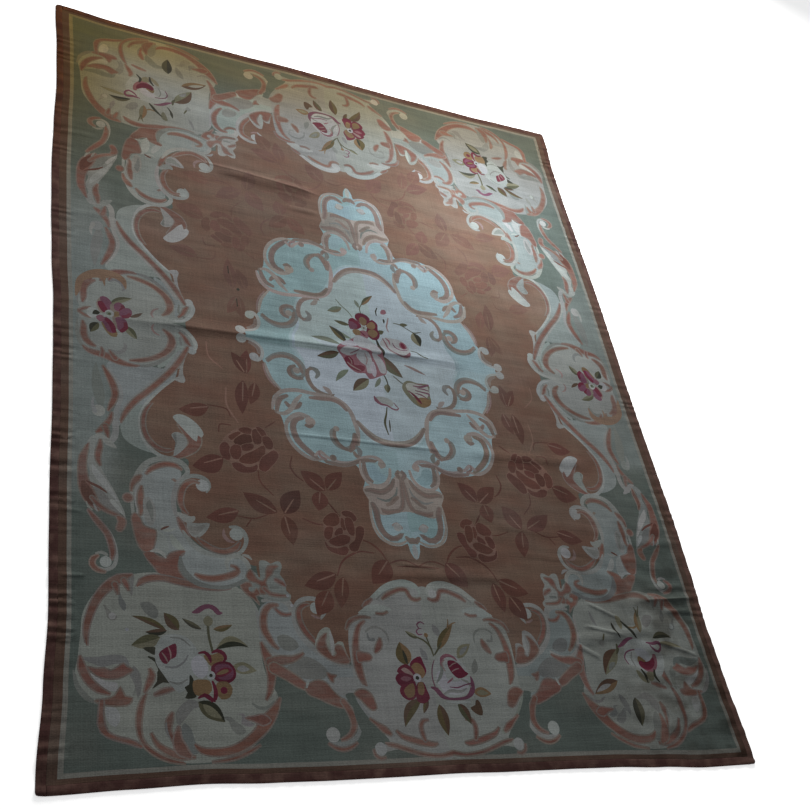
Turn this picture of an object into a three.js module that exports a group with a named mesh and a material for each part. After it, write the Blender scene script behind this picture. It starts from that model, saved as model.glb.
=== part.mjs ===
// A flat tapestry-woven carpet with a floral medallion, lying on the floor.
// One woven panel carries the field, the borders and the inner brown band; four dark
// binding tapes are sewn round it. Millimetres, +Z up, X across and Y along the carpet.

import * as THREE from "three";

// Driving sizes

const CUT_WIDTH = 1850;
const CUT_LENGTH = 2455;
const CLOTH_THICKNESS = 3;
const BINDING_WIDTH = 20;
const SEAM_GAP = 0.3;
const CORNER_RADIUS = 9;
// how far in from an edge the cloth takes part in that edge's wander
const DRIFT_REACH = 150;
const GRID_STEP = 82;
// the least spacing of the lines that follow the folds, across and along the carpet
const ROOM_ACROSS = 28;
const ROOM_ALONG = 9;

const HALF_WIDTH = CUT_WIDTH / 2;
const HALF_LENGTH = CUT_LENGTH / 2;

// How far each long edge lies from its straight cut line, positive to the right
const SIDE_DRIFT = [
  { along: -1190, left: -4, right: -4 },
  { along: -1020, left: 6, right: -10 },
  { along: -850, left: 13, right: -12 },
  { along: -680, left: 11, right: -3 },
  { along: -510, left: 10, right: 2 },
  { along: -340, left: 12, right: 1 },
  { along: -170, left: 11, right: 0 },
  { along: 0, left: 9, right: 0 },
  { along: 170, left: 2, right: 4 },
  { along: 340, left: -2, right: 7 },
  { along: 510, left: -4, right: 7 },
  { along: 680, left: -1, right: 5 },
  { along: 850, left: 4, right: 3 },
  { along: 1020, left: 2, right: 5 },
  { along: 1190, left: -4, right: 17 },
];

// How far each short edge lies from its straight cut line, positive towards the head
const END_DRIFT = [
  { across: -900, foot: -2, head: 6 },
  { across: -750, foot: 2, head: -5 },
  { across: -600, foot: 5, head: -6 },
  { across: -450, foot: 0, head: -4 },
  { across: -300, foot: -2, head: -2 },
  { across: -150, foot: -2, head: 3 },
  { across: 0, foot: -1, head: 2 },
  { across: 150, foot: -4, head: -1 },
  { across: 300, foot: -5, head: -4 },
  { across: 450, foot: -7, head: -2 },
  { across: 600, foot: -13, head: -1 },
  { across: 750, foot: -20, head: 6 },
  { across: 900, foot: -19, head: 11 },
];

// Low folds where the cloth stands off the floor, each a ridge from one end to the other
const FOLDS = [
  { name: "centre", x0: -840, y0: -23, x1: 380, y1: -4, height: 4, half: 28 },
  { name: "upper left", x0: -470, y0: 628, x1: -95, y1: 604, height: 6, half: 30 },
  { name: "right border", x0: 640, y0: -784, x1: 925, y1: -764, height: 5, half: 22 },
  { name: "corner", x0: 400, y0: -905, x1: 715, y1: -868, height: 4, half: 24 },
  { name: "right field", x0: 190, y0: -336, x1: 715, y1: -328, height: 3, half: 24 },
  { name: "lower field", x0: -140, y0: -728, x1: 300, y1: -726, height: 3, half: 24 },
];

// Ease from 0 to 1 with level ends
function ease(t) {
  const s = Math.min(Math.max(t, 0), 1);
  return s * s * (3 - 2 * s);
}

// Value of one table column at a place, eased between its rows
function column(table, place, key, at) {
  const last = table.length - 1;
  if (at <= table[0][place]) return table[0][key];
  if (at >= table[last][place]) return table[last][key];
  const next = table.findIndex((row) => row[place] > at);
  const from = table[next - 1];
  const to = table[next];
  return from[key] + (to[key] - from[key]) * ease((at - from[place]) / (to[place] - from[place]));
}

// Height of the cloth's underside over the floor: the highest ridge at that point,
// with a rounded section and ends that run out to nothing
function lift(x, y) {
  let height = 0;
  for (const fold of FOLDS) {
    const run = new THREE.Vector2(fold.x1 - fold.x0, fold.y1 - fold.y0);
    const length = run.length();
    const dx = x - fold.x0;
    const dy = y - fold.y0;
    const along = (dx * run.x + dy * run.y) / (length * length);
    const away = Math.abs(dx * run.y - dy * run.x) / length / fold.half;
    if (along <= 0 || along >= 1 || away >= 1) continue;
    const section = (1 - away * away) ** 2;
    const ends = ease(along * 4) * ease((1 - along) * 4);
    height = Math.max(height, fold.height * section * ends);
  }
  return height;
}

// Presses a square corner into a round one of CORNER_RADIUS, as a square maps to a disc
function roundCorner(x, y) {
  const a = (Math.abs(x) - (HALF_WIDTH - CORNER_RADIUS)) / CORNER_RADIUS;
  const b = (Math.abs(y) - (HALF_LENGTH - CORNER_RADIUS)) / CORNER_RADIUS;
  if (a <= 0 || b <= 0) return [x, y];
  const roundX = HALF_WIDTH - CORNER_RADIUS + CORNER_RADIUS * a * Math.sqrt(1 - b * b / 2);
  const roundY = HALF_LENGTH - CORNER_RADIUS + CORNER_RADIUS * b * Math.sqrt(1 - a * a / 2);
  return [Math.sign(x) * roundX, Math.sign(y) * roundY];
}

// Where a point of the flat cut cloth comes to lie on the floor
function lay(x, y) {
  const [cutX, cutY] = roundCorner(x, y);
  const nearLeft = ease(1 - (cutX + HALF_WIDTH) / DRIFT_REACH);
  const nearRight = ease(1 - (HALF_WIDTH - cutX) / DRIFT_REACH);
  const nearFoot = ease(1 - (cutY + HALF_LENGTH) / DRIFT_REACH);
  const nearHead = ease(1 - (HALF_LENGTH - cutY) / DRIFT_REACH);
  const shiftX = nearLeft * column(SIDE_DRIFT, "along", "left", cutY)
    + nearRight * column(SIDE_DRIFT, "along", "right", cutY);
  const shiftY = nearFoot * column(END_DRIFT, "across", "foot", cutX)
    + nearHead * column(END_DRIFT, "across", "head", cutX);
  return new THREE.Vector3(cutX + shiftX, cutY + shiftY, lift(cutX, cutY));
}

// Grid lines from lists in order of rank: a place is kept when it stands at least its
// list's room away from every line kept before it
function gridLines(ranked) {
  const kept = [];
  for (const { places, room } of ranked) {
    for (const place of places) {
      if (kept.every((other) => Math.abs(other - place) >= room)) kept.push(place);
    }
  }
  return kept.sort((a, b) => a - b);
}

// The carpet's rim, the seam of its binding and the round of its corners, on both sides
function rimLines(half) {
  const oneSide = [half, half - CORNER_RADIUS / 2, half - CORNER_RADIUS, half - BINDING_WIDTH];
  return [...oneSide, ...oneSide.map((place) => -place)];
}

function evenLines(half) {
  const steps = Math.round(2 * half / GRID_STEP);
  return Array.from({ length: steps }, (_, i) => -half + 2 * half * i / steps);
}

// Lines that follow the folds: five along each ridge and four across it
const foldY = FOLDS.flatMap((fold) => {
  const reach = fold.half + Math.abs(fold.y1 - fold.y0) / 2;
  return [0, -1, 1, -0.5, 0.5].map((offset) => (fold.y0 + fold.y1) / 2 + offset * reach);
});
const foldX = FOLDS.flatMap((fold) => [0, 1, 0.25, 0.75].map((part) =>
  fold.x0 + (fold.x1 - fold.x0) * part));
const linesX = gridLines([
  { places: rimLines(HALF_WIDTH), room: 1 },
  { places: foldX, room: ROOM_ACROSS },
  { places: evenLines(HALF_WIDTH), room: GRID_STEP * 0.6 },
]);
const linesY = gridLines([
  { places: rimLines(HALF_LENGTH), room: 1 },
  { places: foldY, room: ROOM_ALONG },
  { places: evenLines(HALF_LENGTH), room: GRID_STEP * 0.5 },
]);

// The shared lines that fall inside a piece, with the piece's own two limits
function linesWithin(lines, low, high) {
  return [low, ...lines.filter((value) => value > low + 1 && value < high - 1), high];
}

// A closed sheet over the cut rectangle: a top and an underside CLOTH_THICKNESS apart
// that both follow lay(), and a wall round the rim
function sheetGeometry(lowX, highX, lowY, highY) {
  const xs = linesWithin(linesX, lowX, highX);
  const ys = linesWithin(linesY, lowY, highY);
  const across = xs.length;
  const along = ys.length;
  const layer = across * along;
  const positions = [];
  for (const height of [0, CLOTH_THICKNESS]) {
    for (const y of ys) {
      for (const x of xs) {
        const point = lay(x, y);
        positions.push(point.x, point.y, point.z + height);
      }
    }
  }
  const faces = [];
  const quad = (a, b, c, d) => faces.push(a, b, c, a, c, d);
  for (let j = 0; j < along - 1; j += 1) {
    for (let i = 0; i < across - 1; i += 1) {
      const corner = j * across + i;
      quad(corner + layer, corner + layer + 1, corner + layer + across + 1, corner + layer + across);
      quad(corner, corner + across, corner + across + 1, corner + 1);
    }
  }
  for (let i = 0; i < across - 1; i += 1) {
    const head = (along - 1) * across + i;
    quad(i, i + 1, i + 1 + layer, i + layer);
    quad(head + 1, head, head + layer, head + 1 + layer);
  }
  for (let j = 0; j < along - 1; j += 1) {
    const left = j * across;
    const right = left + across - 1;
    quad(left + across, left, left + layer, left + across + layer);
    quad(right, right + across, right + across + layer, right + layer);
  }
  const geometry = new THREE.BufferGeometry();
  geometry.setAttribute("position", new THREE.Float32BufferAttribute(positions, 3));
  geometry.setIndex(faces);
  geometry.computeVertexNormals();
  return geometry;
}

function cloth(name, color, lowX, highX, lowY, highY) {
  const material = new THREE.MeshStandardMaterial({ color, roughness: 0.95, metalness: 0 });
  const mesh = new THREE.Mesh(sheetGeometry(lowX, highX, lowY, highY), material);
  mesh.name = name;
  return mesh;
}

// The carpet

const WOOL_COLOUR = 0x8f7a68;
const BINDING_COLOUR = 0x4a3230;
const panelX = HALF_WIDTH - BINDING_WIDTH;
const panelY = HALF_LENGTH - BINDING_WIDTH;

const carpet = new THREE.Group();
carpet.add(
  cloth("woven_panel", WOOL_COLOUR, -panelX, panelX, -panelY, panelY),
  cloth("binding_left", BINDING_COLOUR, -HALF_WIDTH, -panelX - SEAM_GAP, -HALF_LENGTH, HALF_LENGTH),
  cloth("binding_right", BINDING_COLOUR, panelX + SEAM_GAP, HALF_WIDTH, -HALF_LENGTH, HALF_LENGTH),
  cloth("binding_foot", BINDING_COLOUR, -panelX, panelX, -HALF_LENGTH, -panelY - SEAM_GAP),
  cloth("binding_head", BINDING_COLOUR, -panelX, panelX, panelY + SEAM_GAP, HALF_LENGTH),
);

// The uneven outline is centred on the origin, with the underside on the floor
const middle = new THREE.Box3().setFromObject(carpet).getCenter(new THREE.Vector3());
carpet.position.set(-middle.x, -middle.y, 0);

export default carpet;
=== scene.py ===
# A flat tapestry-woven carpet with a floral medallion, lying on the floor.
# One woven panel carries the whole design, and four dark binding tapes are sewn round it.

import bmesh
import bpy
import numpy as np
from mathutils.geometry import delaunay_2d_cdt
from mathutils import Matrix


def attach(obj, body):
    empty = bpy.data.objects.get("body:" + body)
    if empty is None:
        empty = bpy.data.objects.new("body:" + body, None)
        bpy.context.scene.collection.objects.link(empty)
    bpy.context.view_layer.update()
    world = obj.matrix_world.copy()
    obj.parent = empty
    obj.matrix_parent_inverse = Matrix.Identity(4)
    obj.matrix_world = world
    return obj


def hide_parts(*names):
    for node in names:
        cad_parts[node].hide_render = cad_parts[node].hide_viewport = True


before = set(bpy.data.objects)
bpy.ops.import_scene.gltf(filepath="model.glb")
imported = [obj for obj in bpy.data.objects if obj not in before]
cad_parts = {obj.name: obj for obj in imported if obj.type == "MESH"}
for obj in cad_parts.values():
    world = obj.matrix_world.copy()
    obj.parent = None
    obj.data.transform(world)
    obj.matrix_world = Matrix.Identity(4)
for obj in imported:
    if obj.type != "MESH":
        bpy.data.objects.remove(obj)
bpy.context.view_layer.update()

# The lie of the cloth. The carpet is cut to a rectangle in millimetres, and years of use have
# drawn its edges a little out of line and left low folds where it stands off the floor. Every
# piece is made on the flat cut cloth and then laid with these.

CUT_WIDTH, CUT_LENGTH = 1850.0, 2455.0
BINDING_WIDTH = 20.0
CLOTH_THICKNESS = 3.0
CORNER_RADIUS = 9.0
DRIFT_REACH = 150.0
# brings the middle of the uneven outline to the origin
CENTRE_OF_OUTLINE = (-6.5, 4.487549)
# half sizes of the woven panel inside the binding
PANEL_X, PANEL_Y = CUT_WIDTH / 2 - BINDING_WIDTH, CUT_LENGTH / 2 - BINDING_WIDTH

# place along the side, shift of the left edge, shift of the right edge
SIDE_DRIFT = np.array([
    (-1190, -4, -4), (-1020, 6, -10), (-850, 13, -12), (-680, 11, -3), (-510, 10, 2),
    (-340, 12, 1), (-170, 11, 0), (0, 9, 0), (170, 2, 4), (340, -2, 7), (510, -4, 7),
    (680, -1, 5), (850, 4, 3), (1020, 2, 5), (1190, -4, 17)], float)
# place across the end, shift of the foot edge, shift of the head edge
END_DRIFT = np.array([
    (-900, -2, 6), (-750, 2, -5), (-600, 5, -6), (-450, 0, -4), (-300, -2, -2), (-150, -2, 3),
    (0, -1, 2), (150, -4, -1), (300, -5, -4), (450, -7, -2), (600, -13, -1), (750, -20, 6),
    (900, -19, 11)], float)
# the two ends of a fold, its height and its half width
FOLDS = [
    (-840, -23, 380, -4, 4.0, 28), (-470, 628, -95, 604, 6.0, 30), (640, -784, 925, -764, 5.0, 22),
    (400, -905, 715, -868, 4.0, 24), (190, -336, 715, -328, 3.0, 24),
    (-140, -728, 300, -726, 3.0, 24)]
# creases of the upper side alone, too low to lift the back: the two ends, height, half width
CREASES = [
    (-840, -25, 370, -6, 1.5, 9), (-520, 650, -60, 600, 1.9, 9), (700, -780, 910, -766, 2.6, 6),
    (-905, -765, -835, -763, 2.2, 7), (-905, -892, -860, -890, 2.0, 6),
    (-905, -917, -870, -915, 2.0, 6), (-905, -600, -840, -604, 1.2, 8),
    (760, -812, 905, -806, 2.6, 12), (720, -742, 900, -728, 1.8, 14),
    (430, -912, 505, -952, 3.0, 12), (500, -790, 605, -838, 2.4, 9),
    (470, -858, 605, -886, 3.0, 9), (690, -896, 860, -946, 2.8, 9), (-370, -331, 190, -336, 1.8, 9),
    (-60, -700, 60, -707, 1.8, 9), (-240, 522, -105, 518, 2.0, 16),
    (-380, 600, -110, 574, 1.6, 20), (300, -650, 560, -668, 1.4, 18),
    (240, -560, 470, -585, 1.2, 22), (-620, -716, -330, -722, 1.0, 20),
    (560, 18, 900, 4, 1.4, 26), (-905, 330, -760, 338, 1.4, 18),
    (-905, 655, -800, 650, 1.4, 16), (700, -600, 905, -585, 1.4, 20)]


def ease(t):
    """From 0 to 1 with level ends: three times the square less twice the cube."""
    t = np.clip(t, 0, 1)
    return t * t * (3 - 2 * t)


def drift(table, column, place):
    """A column of a drift table at each place, eased from one row to the next."""
    rows = np.clip(np.searchsorted(table[:, 0], place, side="right") - 1, 0, len(table) - 2)
    part = ease((place - table[rows, 0]) / (table[rows + 1, 0] - table[rows, 0]))
    return table[rows, column] * (1 - part) + table[rows + 1, column] * part


def ridge(x, y, fold):
    """Height of one fold: (1 - s squared) squared across it, where s is the distance from its
    middle line over its half width, eased to nothing over a quarter of its length at each end."""
    x0, y0, x1, y1, height, half = fold
    run = np.array([x1 - x0, y1 - y0], float)
    length = np.hypot(*run)
    along = ((x - x0) * run[0] + (y - y0) * run[1]) / length ** 2
    away = np.abs((x - x0) * run[1] - (y - y0) * run[0]) / length / half
    section = np.clip(1 - away ** 2, 0, None) ** 2
    return height * section * ease(along * 4) * ease((1 - along) * 4)


def lift(x, y):
    """Height of the cloth's underside: the highest fold at each point."""
    return np.max([ridge(x, y, fold) for fold in FOLDS], axis=0)


def rumple(x, y):
    """Soft lumps left in the cloth by folding: the product of two slanting sines, plus six
    tenths of a third one across them, times 0.24 mm, which rises to 0.84 mm at the right foot
    corner."""
    slant = np.sin(x / 13 + y / 23 + 2 * np.sin(y / 83)) * np.sin(x / 21 - y / 12 + 2 * np.sin(x / 71))
    straight = np.sin(y / 10.5 + 2 * np.sin(x / 97) + np.sin(x / 31))
    return (0.24 + 0.6 * ease((x - 250) / 450) * ease((-350 - y) / 450)) * (slant + 0.6 * straight)


def ruffle(x, y):
    """Unevenness of the upper side alone: the small creases, the rumple, and the pucker of the
    selvedges, a wave along each edge that dies out within 75 mm of it and is deepest at the left
    foot."""
    height = sum(ridge(x, y, crease) for crease in CREASES)
    near_side = ease((np.abs(x) - CUT_WIDTH / 2 + 75) / 45)
    near_end = ease((np.abs(y) - CUT_LENGTH / 2 + 60) / 40)
    bunched = y / 5.1 + 2.6 * np.sin(y / 37.0 + x / 400) + 1.3 * np.sin(y / 13.0)
    wave_y = np.sin(bunched) * (0.62 + 0.38 * np.sin(y / 59.0 + x / 300))
    wave_x = np.sin(x / 4.2 + 3 * np.sin(x / 47.0)) * (0.5 + 0.5 * np.sin(x / 93.0))
    depth = 1.0 + 1.0 * ease(-y / 400) * (x < 0)
    return height + depth * near_side * wave_y + 0.3 * near_end * wave_x + rumple(x, y)


def lay(x, y, height):
    """Where points of the flat cut cloth come to lie, in metres. The square corners are pressed
    round as a square maps to a disc, the edges wander as their drift tables say, and the height
    over the underside is added to the fold's own."""
    a = np.clip((np.abs(x) - CUT_WIDTH / 2) / CORNER_RADIUS + 1, 0, None)
    b = np.clip((np.abs(y) - CUT_LENGTH / 2) / CORNER_RADIUS + 1, 0, None)
    in_corner = (a > 0) & (b > 0)
    round_x = CUT_WIDTH / 2 + CORNER_RADIUS * (a * np.sqrt(1 - b * b / 2) - 1)
    round_y = CUT_LENGTH / 2 + CORNER_RADIUS * (b * np.sqrt(1 - a * a / 2) - 1)
    x, y = (np.where(in_corner, np.sign(x) * round_x, x),
            np.where(in_corner, np.sign(y) * round_y, y))
    shift_x = (ease(1 - (x + CUT_WIDTH / 2) / DRIFT_REACH) * drift(SIDE_DRIFT, 1, y)
               + ease(1 - (CUT_WIDTH / 2 - x) / DRIFT_REACH) * drift(SIDE_DRIFT, 2, y))
    shift_y = (ease(1 - (y + CUT_LENGTH / 2) / DRIFT_REACH) * drift(END_DRIFT, 1, x)
               + ease(1 - (CUT_LENGTH / 2 - y) / DRIFT_REACH) * drift(END_DRIFT, 2, x))
    return np.stack([x + shift_x + CENTRE_OF_OUTLINE[0], y + shift_y + CENTRE_OF_OUTLINE[1],
                     lift(x, y) + height], axis=-1) / 1000


# The cartoon. A weaver works from a full-size drawing of the design. Here each row is one
# shape, laid over those before it: its dye, then its points in millimetres. Points of two
# numbers are the outline of a patch, points of three numbers the middle line and width of a
# stroke, and one point of three numbers a disc and its radius.


def curve(points, closed=False, step=11.0):
    """A smooth line through the points: between two of them a cubic whose end slopes come from
    the neighbouring points, weighed by the square root of their distances. A point given twice
    is a corner. A third column, such as a width, is carried along."""
    points = np.asarray(points, float)
    if closed:
        points = np.vstack([points[-1], points, points[:2]])
    else:
        points = np.vstack([2 * points[0] - points[1], points, 2 * points[-1] - points[-2]])
    gap = np.sqrt(np.linalg.norm(np.diff(points[:, :2], axis=0), axis=1))
    gap = np.maximum(gap, 1e-3)[:, None]
    slope = np.diff(points, axis=0) / gap
    bend = (slope[:-1] * gap[1:] + slope[1:] * gap[:-1]) / (gap[:-1] + gap[1:])
    line = []
    for a, b, bend_a, bend_b, h in zip(points[1:-2], points[2:-1], bend[:-1], bend[1:], gap[1:-1]):
        length = np.hypot(*(b - a)[:2])
        if length < 1e-6:
            continue
        t = np.linspace(0, 1, max(3, int(np.ceil(length / step)) + 1))[:-1, None]
        line.append((1 + 2 * t) * (1 - t) ** 2 * a + t * (1 - t) ** 2 * h * bend_a
                    + t * t * (3 - 2 * t) * b + t * t * (t - 1) * h * bend_b)
    if not closed:
        line.append(points[-2][None])
    return np.vstack(line)


def stroke(points):
    """The outline of a stroke: its middle line moved half its width to each side, with half a
    disc on an end that isn't a point."""
    line = curve(points, step=10.0)
    width = np.maximum(line[:, 2], 0.3)
    along = np.gradient(line[:, :2], axis=0)
    along /= np.maximum(np.linalg.norm(along, axis=1), 1e-9)[:, None]
    side = np.stack([-along[:, 1], along[:, 0]], 1) * width[:, None] / 2
    turn = np.linspace(0, np.pi, 6)[1:-1, None]
    head = line[-1, :2] + np.cos(turn) * side[-1] + np.sin(turn) * along[-1] * width[-1] / 2
    tail = line[0, :2] - np.cos(turn) * side[0] - np.sin(turn) * along[0] * width[0] / 2
    parts = [line[:, :2] + side, head if width[-1] > 3 else head[:0],
             (line[:, :2] - side)[::-1], tail if width[0] > 3 else tail[:0]]
    return np.vstack(parts)


def disc(x, y, radius):
    """A circle of 14 points."""
    turn = np.linspace(0, 2 * np.pi, 14, endpoint=False)
    return np.stack([x + radius * np.cos(turn), y + radius * np.sin(turn)], 1)


def shapes(rows):
    """The outline of each row of a drawing, with its dye."""
    drawn = []
    for dye, *points in rows:
        if len(points) == 1:
            drawn.append((dye, disc(*points[0])))
        elif len(points[0]) == 3:
            drawn.append((dye, stroke(points)))
        else:
            drawn.append((dye, curve(points, closed=True)))
    return drawn


def grown(outline, margin):
    """The outline moved outwards by the margin, along the normal of its two neighbours."""
    run = np.roll(outline, -1, axis=0) - np.roll(outline, 1, axis=0)
    run /= np.maximum(np.linalg.norm(run, axis=1), 1e-9)[:, None]
    turn = np.sum(outline[:, 0] * np.roll(outline[:, 1], -1) - np.roll(outline[:, 0], -1) * outline[:, 1])
    return outline + np.sign(turn) * margin * np.stack([run[:, 1], -run[:, 0]], 1)


def leaf(dye, shade, stem, tip, width, bend=0.0, side=1):
    """A pointed leaf from its stem to its tip. Its middle line bows sideways by the bend. Its
    width is the sine, to the power 0.9, of half a turn of the way along to the power 0.85, so
    it is fullest nearer the stem. The shade covers the half on its left for side 1 and on its
    right for side -1."""
    t = np.linspace(0, 1, 10)[:, None]
    run = np.subtract(tip, stem)
    across = np.array([-run[1], run[0]]) / np.hypot(*run)
    middle = stem + run * t + across * bend * 4 * t * (1 - t)
    half = across * width / 2 * np.clip(np.sin(np.pi * t ** 0.85), 0, None) ** 0.9
    whole = np.vstack([middle + half, (middle - half)[-2:0:-1]])
    one_half = np.vstack([middle, (middle + side * half)[-2:0:-1]])
    return [(dye, whole), (shade, one_half)] if shade else [(dye, whole)]


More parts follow.
